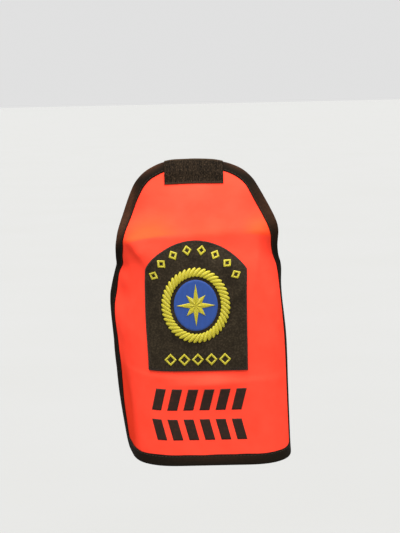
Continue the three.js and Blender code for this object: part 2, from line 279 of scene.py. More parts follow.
OUTLINE = (
    Corner(0, 0, 0),
    Corner(110, 0, 12),
    Corner(110, 158.4, 76),
    Corner(53.5, 262.4, 32),
    Corner(44.8, 272.1, 42),
    Corner(26, 281.9, 46),
    Corner(0, 282.5, 0),
)
CUT_HALF_WIDTH = 110.0
CUT_HEIGHT = 282.5
CLOTH_HALF = 0.5
MIRROR = np.array([-1.0, 1.0])


@dataclass(frozen=True)
class WornForm:
    """The form in which the band is worn: carries the flat cut into space."""

    bend_width: float = 70.0
    walk_steps: int = 24
    probe: float = 0.5
    centre: tuple[float, float, float] = (5.0, 60.0, 80.0)
    # The middle line goes on this far past the top edge
    past_top: float = 20.0

    def stance(self, column: str, v: Points) -> Points:
        """Read one column of the stance table on a smooth curve.

        Args:
            column: name of the column.
            v: heights of the cut.

        Returns:
            The column's value at each height.
        """
        heights = np.array([row.v for row in STANCES], float)
        values = np.array([getattr(row, column) for row in STANCES], float)
        last = len(STANCES) - 1
        before = np.maximum(np.arange(last + 1) - 1, 0)
        after = np.minimum(np.arange(last + 1) + 1, last)
        slopes = (values[after] - values[before]) / (heights[after] - heights[before])
        i = np.clip(np.searchsorted(heights, v, side="left") - 1, 0, last - 1)
        span = heights[i + 1] - heights[i]
        t = np.clip((v - heights[i]) / span, 0, 1)
        t2, t3 = t * t, t * t * t
        return (
            (2 * t3 - 3 * t2 + 1) * values[i]
            + (t3 - 2 * t2 + t) * span * slopes[i]
            + (3 * t2 - 2 * t3) * values[i + 1]
            + (t3 - t2) * span * slopes[i + 1]
        )

    def middle(self, v: Points) -> tuple[Points, Points]:
        """Find the cut's middle line at heights v.

        Args:
            v: heights of the cut.

        Returns:
            Depth and height of the line in space.
        """
        whole = np.arange(0.0, CUT_HEIGHT + self.past_top)
        lean = np.radians((self.stance("lean", whole) + self.stance("lean", whole + 1)) / 2)
        depth = np.concatenate([[0], np.cumsum(np.sin(lean))])
        height = np.concatenate([[0], np.cumsum(np.cos(lean))])
        row = np.clip(v, 0, len(depth) - 2)
        marks = np.arange(len(depth))
        return np.interp(row, marks, depth), np.interp(row, marks, height) + np.minimum(v, 0)

    def bare(self, u: Points, v: Points) -> Points:
        """Place points of the cut on the bare surface, before folds and thickness.

        Args:
            u: places across the cut.
            v: places up the cut.

        Returns:
            Points in space, one row of three for each place.
        """
        u, v = np.broadcast_arrays(np.asarray(u, float), np.asarray(v, float))
        left = u < 0
        flat = np.where(left, self.stance("left_flat", v), self.stance("right_flat", v))
        turn = np.where(left, self.stance("left_turn", v), self.stance("right_turn", v))
        lean = np.radians(self.stance("lean", v))
        step = np.abs(u) / self.walk_steps
        across = np.zeros(u.shape)
        deep = np.zeros(u.shape)
        for i in range(self.walk_steps):
            heading = np.radians(turn) * ease(((i + 0.5) * step - flat) / self.bend_width)
            across += np.cos(heading) * step
            deep += np.sin(heading) * step
        depth, height = self.middle(v)
        return np.stack([
            np.sign(u) * across - self.centre[0],
            depth + deep * np.cos(lean) - self.centre[1],
            height - deep * np.sin(lean) - self.centre[2],
        ], axis=-1)

    def relief(self, u: Points, v: Points) -> Points:
        """Height of the folds and dents at places of the cut.

        Args:
            u: places across the cut.
            v: places up the cut.

        Returns:
            Height off the bare surface.
        """
        return sum(self.ridge(fold, u, v) for fold in (*CREASES, *FOLDS))

    def ridge(self, fold: Crease | Fold, u: Points, v: Points) -> Points:
        """Height of one crease or fold at places of the cut.

        Args:
            fold: row of its table.
            u: places across the cut.
            v: places up the cut.

        Returns:
            Its height there.
        """
        slope = math.radians(fold.slope)
        along = (u - fold.u) * math.cos(slope) + (v - fold.v) * math.sin(slope)
        off = (v - fold.v) * math.cos(slope) - (u - fold.u) * math.sin(slope)
        if isinstance(fold, Crease):
            away = np.sqrt(off ** 2 + fold.crest ** 2) - fold.crest
            section = np.clip(1 - away / np.where(off > 0, fold.above, fold.below), 0, 1) ** 2
        else:
            section = np.exp(-((off / fold.spread) ** 2) / 2)
        return fold.height * ease(1 - np.abs(along) / fold.half_length) * section

    def normal(self, u: Points, v: Points) -> Points:
        """Unit vectors off the cloth's outer face at places of the cut.

        Args:
            u: places across the cut.
            v: places up the cut.

        Returns:
            One vector for each place.
        """
        u, v = np.broadcast_arrays(np.asarray(u, float), np.asarray(v, float))
        across = self.bare(u + self.probe, v) - self.bare(u - self.probe, v)
        up = self.bare(u, v + self.probe) - self.bare(u, v - self.probe)
        return unit(np.cross(across, up))

    def place(self, u: Points, v: Points, height: Points) -> Points:
        """Carry places of the cut into space at a height off the cloth's middle.

        Args:
            u: places across the cut.
            v: places up the cut.
            height: heights off the middle of the cloth.

        Returns:
            Points in space.
        """
        lift = np.asarray(height, float) + self.relief(np.asarray(u, float), np.asarray(v, float))
        return self.bare(u, v) + self.normal(u, v) * lift[..., None]


FORM = WornForm()


def half_outline(spacing: float) -> tuple[Points, Points]:
    """Trace the right half of the cut's outline, rounded at its corners.

    Args:
        spacing: distance between points.

    Returns:
        The points from the middle of the hem to that of the top, and their inward normals.
    """
    places: list[Points] = []
    inwards: list[Points] = []

    def line(start: Points, end: Points) -> None:
        """Add a straight stretch, without its last point.

        Args:
            start: its first point.
            end: its last point.
        """
        along = end - start
        count = max(1, round(float(np.linalg.norm(along)) / spacing))
        inward = np.array([-along[1], along[0]]) / np.linalg.norm(along)
        for i in range(count):
            places.append(start + along * i / count)
            inwards.append(inward)

    here = np.array(OUTLINE[0][:2], float)
    for i in range(1, len(OUTLINE)):
        corner = np.array(OUTLINE[i][:2], float)
        radius = OUTLINE[i].radius
        if radius == 0:
            line(here, corner)
            places.append(corner)
            inwards.append(np.array([0.0, -1.0]))
            continue
        back = np.array(OUTLINE[i - 1][:2]) - corner
        ahead = np.array(OUTLINE[i + 1][:2]) - corner
        back, ahead = back / np.linalg.norm(back), ahead / np.linalg.norm(ahead)
        half = math.acos(float(back @ ahead)) / 2
        start = corner + back * radius / math.tan(half)
        middle = (back + ahead) / np.linalg.norm(back + ahead)
        centre = corner + middle * radius / math.sin(half)
        line(here, start)
        turn = math.pi - 2 * half
        count = max(2, round(turn * radius / spacing))
        for k in range(count):
            c, s = math.cos(turn * k / count), math.sin(turn * k / count)
            arm = np.array([[c, -s], [s, c]]) @ (start - centre)
            places.append(centre + arm)
            inwards.append(-arm / np.linalg.norm(arm))
        here = corner + ahead * radius / math.tan(half)
    return np.array(places), np.array(inwards)


class MeshParts:
    """Gathers the points and faces of one piece, and makes its object."""

    def __init__(self) -> None:
        """Start with nothing."""
        self.points: list[Points] = []
        self.lay: list[Points] = []
        self.faces: list[tuple[int, ...]] = []
        self.zones: list[int] = []
        self.count = 0

    def add(self, points: Points, lay: Points, faces: list[tuple[int, ...]]) -> None:
        """Add loose points with the faces between them.

        Args:
            points: points in space.
            lay: the lay attribute of each point.
            faces: indices into these points, outward by the right-hand rule.
        """
        self.points.append(points.reshape(-1, 3))
        self.lay.append(np.broadcast_to(lay, points.shape).reshape(-1, 3))
        self.faces += [tuple(i + self.count for i in face) for face in faces]
        self.zones += [0] * len(faces)
        self.count += len(self.points[-1])

    def wall(self, outer: Points, inner: Points, lay: Points, loop: bool = False, back: int = 0) -> None:
        """Add a closed wall between two grids, whose outer face looks along columns crossed with rows.

        Args:
            outer: grid of points, rows by columns by three.
            inner: the grid behind it.
            lay: the lay attribute of the grid.
            loop: whether the last row joins the first.
            back: material slot of the inner face.
        """
        rows, columns = outer.shape[:2]
        near = np.arange(rows * columns).reshape(rows, columns)
        if loop:
            near = np.vstack([near, near[:1]])
        far = near + rows * columns

        def quads(*corners: Points) -> list[tuple[int, ...]]:
            """Faces from four arrays of indices."""
            return list(zip(*(corner.ravel().tolist() for corner in corners)))

        front = quads(near[:-1, :-1], near[:-1, 1:], near[1:, 1:], near[1:, :-1])
        behind = quads(far[:-1, :-1], far[1:, :-1], far[1:, 1:], far[:-1, 1:])
        rim = quads(near[:-1, 0], near[1:, 0], far[1:, 0], far[:-1, 0])
        rim += quads(near[:-1, -1], far[:-1, -1], far[1:, -1], near[1:, -1])
        if not loop:
            rim += quads(near[0, :-1], far[0, :-1], far[0, 1:], near[0, 1:])
            rim += quads(near[-1, :-1], near[-1, 1:], far[-1, 1:], far[-1, :-1])
        points = np.concatenate([outer.reshape(-1, 3), inner.reshape(-1, 3)])
        both = np.concatenate([lay.reshape(-1, 3), lay.reshape(-1, 3)])
        self.add(points, both, front + rim + behind)
        self.zones[-len(behind):] = [back] * len(behind)

    def mound(self, outline: Points, rings: Callable[[Points, float], Points], scales: Points,
              base: float, lay: Callable[[Points], Points]) -> None:
        """Add a raised form on the cloth, bounded by a closed outline that its centre can see.

        Args:
            outline: places of the cut, anticlockwise.
            rings: heights for one ring, from its places and its scale.
            scales: scales of the rings about the outline's middle, from 1 down to 0.
            base: height of the flat underside.
            lay: lay attribute from the places.
        """
        middle = outline.mean(axis=0)
        count = len(outline)
        places = [middle + (outline - middle) * s for s in scales[:-1]]
        heights = [rings(ring, float(s)) for ring, s in zip(places, scales)]
        flat = np.concatenate([outline, *places, middle[None], middle[None]])
        tall = np.concatenate([
            np.full(count, base), *heights, rings(middle[None], float(scales[-1])), [base],
        ])
        faces: list[tuple[int, ...]] = []
        for k in range(len(places)):
            for i in range(count):
                j = (i + 1) % count
                a, b = k * count, (k + 1) * count
                faces.append((a + i, a + j, b + j, b + i))
        top, under = (len(places) + 1) * count, (len(places) + 1) * count + 1
        for i in range(count):
            j = (i + 1) % count
            faces.append((top - count + i, top - count + j, top))
            faces.append((j, i, under))
        self.add(FORM.place(flat[:, 0], flat[:, 1], tall), lay(flat), faces)

    def build(self, name: str, *materials: Material) -> Piece:
        """Make the object.

        Args:
            name: the piece's name.
            materials: its material slots.

        Returns:
            The object, at the origin, in metres.
        """
        mesh = bpy.data.meshes.new(name)
        mesh.from_pydata((np.concatenate(self.points) * MM).tolist(), [], self.faces)
        mesh.polygons.foreach_set("use_smooth", [True] * len(self.faces))
        mesh.polygons.foreach_set("material_index", self.zones)
        store_vectors(mesh, "lay", np.concatenate(self.lay))
        for material in materials:
            mesh.materials.append(material)
        mesh.update()
        mesh.validate()
        return put_in_scene(name, mesh)


class Slot(Enum):
    """Material slots of the record."""

    COATED_CLOTH = "coated_cloth"
    BINDING_TAPE = "binding_tape"
    HOOK_TAPE = "hook_tape"
    BADGE_CLOTH = "badge_cloth"
    BLUE_THREAD = "blue_thread"
    YELLOW_THREAD = "yellow_thread"
    PRINT_INK = "print_ink"
    ELASTIC = "elastic"


def settle(piece: Piece, slot: Slot, *nodes: str) -> Piece:
    """Tell the frame what a finished piece rides on and the nodes it stands for.

    Args:
        piece: the finished piece.
        slot: not used.
        nodes: CAD nodes that it replaces.

    Returns:
        The same piece.
    """
    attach(piece, BODY)
    if nodes:
        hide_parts(*nodes)
    LOG.info("%s: %d faces", piece.name, len(piece.data.polygons))
    return piece


# Blender's wave texture repeats each 2 pi / 20 at a scale of 1
WAVE_PERIOD = math.pi / 10


def ribs(tree: Tree, lay: Socket, pitch: float, axis: str = "X", waver: float = 0.0) -> Socket:
    """Add parallel ribs across one axis of a vector in millimetres.

    Args:
        tree: the material's tree.
        lay: the vector.
        pitch: distance from rib to rib in millimetres.
        axis: X, Y or DIAGONAL, the direction in which the ribs are counted.
        waver: how far they stray from straight.

    Returns:
        A socket from 0 to 1.
    """
    wave = add_node(
        tree, "ShaderNodeTexWave",
        {
            "Vector": lay, "Scale": WAVE_PERIOD / pitch, "Distortion": waver,
            "Detail": 1.0, "Detail Scale": 0.6,
        },
        bands_direction=axis,
    )
    return wave.outputs["Fac"]


def grain(tree: Tree, lay: Socket, size: float, detail: float = 3.0) -> Socket:
    """Add noise whose blobs have a size in millimetres.

    Args:
        tree: the material's tree.
        lay: vector in millimetres.
        size: size of the blobs.
        detail: octaves of finer noise.

    Returns:
        A socket from 0 to 1.
    """
    noise = add_node(tree, "ShaderNodeTexNoise", {"Vector": lay, "Scale": 1 / size, "Detail": detail})
    return noise.outputs["Fac"]


def blend_colours(tree: Tree, factor: Socket, low: float, high: float,
                  first: str | Socket, second: str) -> Socket:
    """Mix two colours by a factor stretched between two limits.

    Args:
        tree: the material's tree.
        factor: socket that chooses between them.
        low: value of the factor that gives the first colour alone.
        high: value that gives the second alone.
        first: hex colour, or the socket of another mix.
        second: hex colour.

    Returns:
        The mixed colour's socket.
    """
    share = add_node(tree, "ShaderNodeMapRange", {"Value": factor, "From Min": low, "From Max": high})
    start = linear(first) if isinstance(first, str) else first
    mix = add_node(
        tree, "ShaderNodeMix",
        {0: share.outputs["Result"], 6: start, 7: linear(second)}, data_type="RGBA",
    )
    return mix.outputs[2]


def bump(tree: Tree, height: Socket, depth: float, over: Socket | None = None) -> Socket:
    """Add relief of a real depth.

    Args:
        tree: the material's tree.
        height: socket from 0 to 1.
        depth: relief in millimetres where the socket is 1.
        over: normal of a coarser relief below it.

    Returns:
        The normal's socket.
    """
    inputs = {"Height": height, "Distance": depth * MM, "Strength": 1.0}
    if over is not None:
        inputs["Normal"] = over
    return add_node(tree, "ShaderNodeBump", inputs).outputs["Normal"]


def plain_weave(tree: Tree, lay: Socket, pitch: float, depth: float,
                over: Socket | None = None) -> Socket:
    """Add the relief of a plain weave.

    Args:
        tree: the material's tree.
        lay: vector in millimetres.
        pitch: distance from thread to thread.
        depth: depth of the relief.
        over: normal of a coarser relief below it.

    Returns:
        The normal's socket.
    """
    warp = bump(tree, ribs(tree, lay, pitch, "X"), depth, over)
    return bump(tree, ribs(tree, lay, pitch, "Y"), depth, warp)


def third_lay_value(tree: Tree, lay: Socket) -> Socket:
    """Third value of the lay attribute: the share of painted highlight or painted shade on the cloth and
    the binding tape, and how bare the hook tape is near its edges.
    """
    return add_node(tree, "ShaderNodeSeparateXYZ", {"Vector": lay}).outputs["Z"]


@dataclass(frozen=True)
class Finish:
    """A finish: its material's name and the shader's values that are the same all over."""

    name: str
    roughness: float
    specular: float

    def place(self, tree: Tree) -> Socket:
        """Vector that the pattern follows: the lay attribute, in millimetres."""
        return add_node(tree, "ShaderNodeAttribute", attribute_name="lay").outputs["Vector"]

    def pattern(self, tree: Tree, lay: Socket) -> dict:
        """Add the pattern's nodes.

        Args:
            tree: the material's tree.
            lay: the vector that the pattern follows.

        Returns:
            The shader's inputs that the pattern sets.
        """
        raise NotImplementedError

    def material(self) -> Material:
        """Make the material.

        Returns:
            The material.
        """
        material = bpy.data.materials.new(self.name)
        material.use_nodes = True
        tree = material.node_tree
        tree.nodes.clear()
        inputs = {"Roughness": self.roughness, "Specular IOR Level": self.specular}
        inputs.update(self.pattern(tree, self.place(tree)))
        shader = add_node(tree, "ShaderNodeBsdfPrincipled", inputs)
        add_node(tree, "ShaderNodeOutputMaterial", {"Surface": shader.outputs["BSDF"]})
        return material


@dataclass(frozen=True)
class CoatedCloth(Finish):
    """Fluorescent polyester with a thin coating: even, glowing colour and a faint weave."""

    name: str = "fluorescent_coated_polyester"
    roughness: float = 0.8
    specular: float = 0.0
    colour: str = "#F84532"
    deep: str = "#F4402D"
    # Painted highlight, where the cloth faces the light, and painted shade
    cloth_highlight: str = "#FF4B29"
    cloth_shade: str = "#D63521"
    # Threads of 0.4 mm are too fine to show, so the weave is drawn at 1.3 mm
    weave: float = 1.3
    weave_depth: float = 0.02
    cloud: float = 22.0
    crumple: float = 14.0
    crumple_depth: float = 0.35

    def pattern(self, tree: Tree, lay: Socket) -> dict:
        """Cloudy colour with painted highlight and painted shade, weave and slight crumple.

        Args:
            tree: the material's tree.
            lay: the vector that the pattern follows.

        Returns:
            The shader's inputs that the pattern sets.
        """
        cloudy = blend_colours(tree, grain(tree, lay, self.cloud), 0.35, 0.7, self.colour, self.deep)
        share = third_lay_value(tree, lay)
        # Painted highlight, then painted shade, by the lay attribute's third value
        with_highlight = blend_colours(tree, share, 0.0, 1.0, cloudy, self.cloth_highlight)
        colour = blend_colours(tree, share, 0.0, -1.0, with_highlight, self.cloth_shade)
        crumpled = bump(tree, grain(tree, lay, self.crumple, 2.0), self.crumple_depth)
        return {
            "Base Color": colour,
            "Normal": plain_weave(tree, lay, self.weave, self.weave_depth, crumpled),
        }


@dataclass(frozen=True)
class ClothBack(Finish):
    """The uncoated back of the same cloth: duller, with its weave open to the eye."""

    name: str = "uncoated_polyester_back"
    roughness: float = 0.8
    specular: float = 0.5
    colour: str = "#E8563C"
    deep: str = "#D84C34"
    # Drawn as coarse as on the outer face, and deeper
    weave: float = 1.3
    weave_depth: float = 0.06

    def pattern(self, tree: Tree, lay: Socket) -> dict:
        """Mottled colour over a plain weave.

        Args:
            tree: the material's tree.
            lay: the vector that the pattern follows.

        Returns:
            The shader's inputs that the pattern sets.
        """
        colour = blend_colours(tree, grain(tree, lay, 3.0), 0.3, 0.7, self.colour, self.deep)
        weave = plain_weave(tree, lay, self.weave, self.weave_depth)
        return {"Base Color": colour, "Normal": weave, "Sheen Weight": 0.2}


@dataclass(frozen=True)
class WovenTape(Finish):
    """Woven polyester binding tape: dark, matt, ribbed across, with painted highlight in brown where it
    catches the light.
    """

    name: str = "woven_polyester_tape"
    roughness: float = 0.75
    specular: float = 0.02
    colour: str = "#1A150F"
    # Painted highlight: the brown where the tape catches the light
    tape_highlight: str = "#442B1E"
    dull: str = "#13100C"
    cross_rib: float = 1.1
    long_rib: float = 1.5

    def pattern(self, tree: Tree, lay: Socket) -> dict:
        """Cross ribs, long ribs, and painted highlight in uneven patches.

        Args:
            tree: the material's tree.
            lay: the vector that the pattern follows.

        Returns:
            The shader's inputs that the pattern sets.
        """
        base = blend_colours(tree, grain(tree, lay, 1.8), 0.35, 0.7, self.colour, self.dull)
        patchy_highlight = add_node(
            tree, "ShaderNodeMath", {0: third_lay_value(tree, lay), 1: grain(tree, lay, 1.3)},
            operation="MULTIPLY",
        ).outputs[0]
        colour = blend_colours(tree, patchy_highlight, 0.0, 0.62, base, self.tape_highlight)
        long_ribs = bump(tree, ribs(tree, lay, self.long_rib, "Y", 0.4), 0.05)
        cross_ribs = bump(tree, ribs(tree, lay, self.cross_rib, "X", 0.5), 0.09, long_ribs)
        return {"Base Color": colour, "Normal": cross_ribs}


@dataclass(frozen=True)
class HookNylon(Finish):
    """Moulded nylon hooks on woven tape: dark, with small glints on the hooks."""

    name: str = "nylon_hook_tape"
    roughness: float = 0.7
    specular: float = 0.03
    # Streaks of two or three rows of hooks that took the dye unevenly
    streak: float = 1.1
    speck: float = 0.45
    colour: str = "#1D160E"
    dark: str = "#0B0805"
    light: str = "#3E3124"
    selvedge: str = "#35281B"

    def drawn_out(self, tree: Tree, size: float, share: float) -> Socket:
        """Scale Object coordinates so that a pattern is longer upright and in depth than across.

        Args:
            tree: the material's tree.
            size: width of one blob in millimetres.
            share: width of a blob as a share of its length.

        Returns:
            The vector's socket, for a pattern of size 1.
        """
        place = add_node(tree, "ShaderNodeTexCoord").outputs["Object"]
        width = size * MM
        scale = (1 / width, share / width, share / width)
        return add_node(tree, "ShaderNodeMapping", {"Vector": place, "Scale": scale}).outputs["Vector"]

    def pattern(self, tree: Tree, lay: Socket) -> dict:
        """Uneven dye in upright streaks and specks over a close weave, with a plain selvedge.

        Args:
            tree: the material's tree.
            lay: the vector that the pattern follows.

        Returns:
            The shader's inputs that the pattern sets.
        """
        streaked = grain(tree, self.drawn_out(tree, self.streak, 0.1), 1.0, 1.0)
        specked = grain(tree, self.drawn_out(tree, self.speck, 0.35), 1.0, 0.0)
        streaks = blend_colours(tree, streaked, 0.35, 0.65, self.colour, self.dark)
        specks = blend_colours(tree, specked, 0.5, 0.85, streaks, self.light)
        colour = blend_colours(tree, third_lay_value(tree, lay), 1.0, 2.0, specks, self.selvedge)
        weave = bump(tree, ribs(tree, lay, 0.9, "X", 0.5), 0.06)
        return {"Base Color": colour, "Normal": weave}


@dataclass(frozen=True)
class BadgeTwill(Finish):
    """Close woven badge cloth: near black brown with upright ribs and a dry surface."""

    name: str = "woven_badge_cloth"
    roughness: float = 0.8
    specular: float = 0.03
    colour: str = "#29231A"
    dark: str = "#221C14"
    light: str = "#40372A"
    shade: str = "#15110D"
    rib: float = 1.3

    def pattern(self, tree: Tree, lay: Socket) -> dict:
        """Upright ribs crossed by a fine diagonal, in mottled yarn.

        Args:
            tree: the material's tree.
            lay: the vector that the pattern follows.

        Returns:
            The shader's inputs that the pattern sets.
        """
        lines = ribs(tree, lay, self.rib, "X", 1.2)
        ribbed = blend_colours(tree, lines, 0.0, 1.0, self.dark, self.colour)
        mottled = blend_colours(tree, grain(tree, lay, 1.5, 2.0), 0.45, 0.85, ribbed, self.light)
        colour = blend_colours(tree, grain(tree, lay, 12.0, 2.0), 0.45, 1.0, mottled, self.shade)
        upright = bump(tree, lines, 0.06)
        slant = bump(tree, ribs(tree, lay, 1.0, "DIAGONAL", 0.3), 0.04, upright)
        return {"Base Color": colour, "Normal": slant}


@dataclass(frozen=True, kw_only=True)
class SatinThread(Finish):
    """Rayon embroidery in satin stitch: threads side by side, with a soft silky gloss."""

    roughness: float = 0.42
    specular: float = 0.35
    colour: str
    # Painted shade in the gaps between threads
    dark: str
    # Threads of 0.35 mm are drawn in bundles, so that they show
    thread: float = 0.9

    def pattern(self, tree: Tree, lay: Socket) -> dict:
        """Rows of thread with painted shade in the gaps between them.

        Args:
            tree: the material's tree.
            lay: the vector that the pattern follows.

        Returns:
            The shader's inputs that the pattern sets.
        """
        lines = ribs(tree, lay, self.thread, "X", 0.6)
        colour = blend_colours(tree, lines, 0.0, 0.45, self.dark, self.colour)
        return {"Base Color": colour, "Normal": bump(tree, lines, 0.14)}


@dataclass(frozen=True)
class ScreenInk(Finish):
    """Screen-printed plastisol ink: a thin matt film, near black, a little uneven."""

    name: str = "screen_print_ink"
    roughness: float = 0.65
    specular: float = 0.15
    colour: str = "#261810"
    thin: str = "#3A1E15"

    def pattern(self, tree: Tree, lay: Socket) -> dict:
        """Slightly thin patches and the cloth's weave showing through.

        Args:
            tree: the material's tree.
            lay: the vector that the pattern follows.

        Returns:
            The shader's inputs that the pattern sets.
        """
        colour = blend_colours(tree, grain(tree, lay, 3.5, 4.0), 0.5, 0.8, self.colour, self.thin)
        return {"Base Color": colour, "Normal": bump(tree, ribs(tree, lay, 1.3, "Y"), 0.02)}


@dataclass(frozen=True)
class SewingThread(Finish):
    """Spun polyester sewing thread: dark and matt."""

    name: str = "spun_polyester_thread"
    roughness: float = 0.75
    specular: float = 0.2
    colour: str = "#2E261D"
    dark: str = "#1B1510"

    def pattern(self, tree: Tree, lay: Socket) -> dict:
        """A twist of two shades.

        Args:
            tree: the material's tree.
            lay: the vector that the pattern follows.

        Returns:
            The shader's inputs that the pattern sets.
        """
        colour = blend_colours(tree, grain(tree, lay, 1.5), 0.35, 0.65, self.colour, self.dark)
        return {"Base Color": colour}


@dataclass(frozen=True)
class RibbedElastic(Finish):
    """Knitted elastic webbing: dull dark yarn over rubber cores, ribbed along its length."""

    name: str = "knitted_elastic_webbing"
    roughness: float = 0.85
    specular: float = 0.05
    colour: str = "#27221C"
    dark: str = "#0F0D0B"
    rib: float = 2.6
    loop: float = 1.3

    def pattern(self, tree: Tree, lay: Socket) -> dict:
        """Long ribs with a fine knit between them.

        Args:
            tree: the material's tree.
            lay: the vector that the pattern follows.

        Returns:
            The shader's inputs that the pattern sets.
        """
        long_ribs = ribs(tree, lay, self.rib, "Y", 0.2)
        knit = ribs(tree, lay, self.loop, "X", 0.6)
        ribbed = blend_colours(tree, long_ribs, 0.0, 0.8, self.dark, self.colour)
        colour = blend_colours(tree, knit, 0.55, 1.6, ribbed, self.dark)
        return {"Base Color": colour, "Normal": bump(tree, knit, 0.08, bump(tree, long_ribs, 0.2))}


@dataclass(frozen=True)
class FloorPaint(Finish):
    """Matt paint of the studio's floor: pale grey, very slightly cloudy."""

    name: str = "painted_studio_floor"
    roughness: float = 0.9
    specular: float = 0.5
    colour: str = "#828280"
    pale: str = "#848483"

    def place(self, tree: Tree) -> Socket:
        """Object coordinates, in metres."""
        return add_node(tree, "ShaderNodeTexCoord").outputs["Object"]

    def pattern(self, tree: Tree, lay: Socket) -> dict:
        """Soft clouds of two close greys.

        Args:
            tree: the material's tree.
            lay: the vector that the pattern follows.

        Returns:
            The shader's inputs that the pattern sets.
        """
        cloudy = add_node(tree, "ShaderNodeTexNoise", {"Vector": lay, "Scale": 3.0}).outputs["Fac"]
        return {"Base Color": blend_colours(tree, cloudy, 0.0, 1.0, self.colour, self.pale)}


@dataclass(frozen=True)
class LaidForm:
    """A small rounded form that is laid again and again: its sizes and its pitch along a line in
    millimetres, the degrees that it is turned off the line, and its sides."""

    pitch: float
    length: float
    width: float
    rise: float
    swing: float = 0.0
    sides: int = 6


class RepeatTree:
    """Geometry Nodes tree that lays a small rounded form again and again along lines or at points."""

    def __init__(self, name: str, along_lines: bool) -> None:
        """Build the tree.

        Args:
            name: the tree's name.
            along_lines: whether the forms follow lines at a pitch, or sit on the points.
        """
        self.tree = bpy.data.node_groups.new(name, "GeometryNodeTree")
        sockets = self.tree.interface
        sockets.new_socket(name="Geometry", in_out="INPUT", socket_type="NodeSocketGeometry")
        for label in ("Pitch", "Length", "Width", "Rise", "Swing"):
            sockets.new_socket(name=label, in_out="INPUT", socket_type="NodeSocketFloat")
        sockets.new_socket(name="Sides", in_out="INPUT", socket_type="NodeSocketInt")
        sockets.new_socket(name="Finish", in_out="INPUT", socket_type="NodeSocketMaterial")
        sockets.new_socket(name="Geometry", in_out="OUTPUT", socket_type="NodeSocketGeometry")
        given = add_node(self.tree, "NodeGroupInput").outputs
        size = add_node(
            self.tree, "ShaderNodeCombineXYZ",
            {"X": given["Length"], "Y": given["Width"], "Z": given["Rise"]},
        ).outputs["Vector"]
        ball = add_node(
            self.tree, "GeometryNodeMeshUVSphere",
            {"Segments": given["Sides"], "Rings": given["Sides"], "Radius": 0.5},
        )
        lying = add_node(
            self.tree, "GeometryNodeTransform",
            {"Geometry": ball.outputs["Mesh"], "Rotation": (0.0, math.pi / 2, 0.0)},
        )
        form = add_node(
            self.tree, "GeometryNodeTransform", {"Geometry": lying.outputs[0], "Scale": size},
        )
        place = add_node(self.tree, "GeometryNodeInputPosition").outputs[0]
        in_mm = add_node(
            self.tree, "ShaderNodeVectorMath", {0: place, "Scale": 1 / MM}, operation="SCALE",
        )
        laid = add_node(
            self.tree, "GeometryNodeStoreNamedAttribute",
            {"Geometry": form.outputs[0], "Name": "lay", "Value": in_mm.outputs[0]},
            data_type="FLOAT_VECTOR", domain="POINT",
        )
        swing = add_node(self.tree, "ShaderNodeCombineXYZ", {"Z": given["Swing"]}).outputs["Vector"]
        turned = add_node(
            self.tree, "GeometryNodeTransform", {"Geometry": laid.outputs[0], "Rotation": swing},
        )
        points = given["Geometry"]
        if along_lines:
            curve = add_node(self.tree, "GeometryNodeMeshToCurve", {"Mesh": points})
            spaced = add_node(
                self.tree, "GeometryNodeResampleCurve",
                {"Curve": curve.outputs[0], "Length": given["Pitch"]}, mode="LENGTH",
            )
            points = spaced.outputs[0]
            heading = add_node(self.tree, "GeometryNodeInputTangent").outputs[0]
        else:
            heading = self.named("heading")
        ahead = add_node(self.tree, "FunctionNodeAlignRotationToVector", {"Vector": heading}, axis="X")
        upright = add_node(
            self.tree, "FunctionNodeAlignRotationToVector",
            {"Rotation": ahead.outputs[0], "Vector": self.named("up")}, axis="Z", pivot_axis="X",
        )
        many = add_node(
            self.tree, "GeometryNodeInstanceOnPoints",
            {"Points": points, "Instance": turned.outputs[0], "Rotation": upright.outputs[0]},
        )
        real = add_node(self.tree, "GeometryNodeRealizeInstances", {"Geometry": many.outputs[0]})
        dressed = add_node(
            self.tree, "GeometryNodeSetMaterial",
            {"Geometry": real.outputs[0], "Material": given["Finish"]},
        )
        add_node(self.tree, "NodeGroupOutput", {"Geometry": dressed.outputs[0]})

    def named(self, name: str) -> Socket:
        """Socket that reads a vector attribute of the points."""
        node = add_node(
            self.tree, "GeometryNodeInputNamedAttribute", {"Name": name}, data_type="FLOAT_VECTOR",
        )
        return node.outputs["Attribute"]

    def run(self, name: str, lines: list[tuple[Points, Points]], finish: Material,
            form: LaidForm, heading: Points | None = None) -> Piece:
        """Lay the forms and make them a plain mesh.

        Args:
            name: the piece's name.
            lines: points in space and the vectors off the surface at them, line by line.
            finish: the forms' material.
            form: sizes of one form.
            heading: direction of the form at each point, where the tree doesn't follow lines.

        Returns:
            The object.
        """
        mesh = bpy.data.meshes.new(name)
        points = np.concatenate([line for line, _ in lines])
        ends = np.cumsum([len(line) for line, _ in lines])
        edges = [] if heading is not None else [
            (i, i + 1) for i in range(len(points) - 1) if i + 1 not in ends
        ]
        mesh.from_pydata((points * MM).tolist(), edges, [])
        store_vectors(mesh, "up", np.concatenate([up for _, up in lines]))
        if heading is not None:
            store_vectors(mesh, "heading", heading)
        guide = put_in_scene(name + "_guide", mesh)
        modifier = guide.modifiers.new("repeat", "NODES")
        modifier.node_group = self.tree
        identifiers = {
            item.name: item.identifier
            for item in self.tree.interface.items_tree if item.in_out == "INPUT"
        }
        given = {
            "Pitch": form.pitch * MM, "Length": form.length * MM, "Width": form.width * MM,
            "Rise": form.rise * MM, "Swing": math.radians(form.swing), "Sides": form.sides,
            "Finish": finish,
        }
        for label, value in given.items():
            modifier[identifiers[label]] = value
        depsgraph = bpy.context.evaluated_depsgraph_get()
        result = bpy.data.meshes.new_from_object(guide.evaluated_get(depsgraph))
        result.name = name
        bpy.data.objects.remove(guide)
        result.polygons.foreach_set("use_smooth", [True] * len(result.polygons))
        return put_in_scene(name, result)


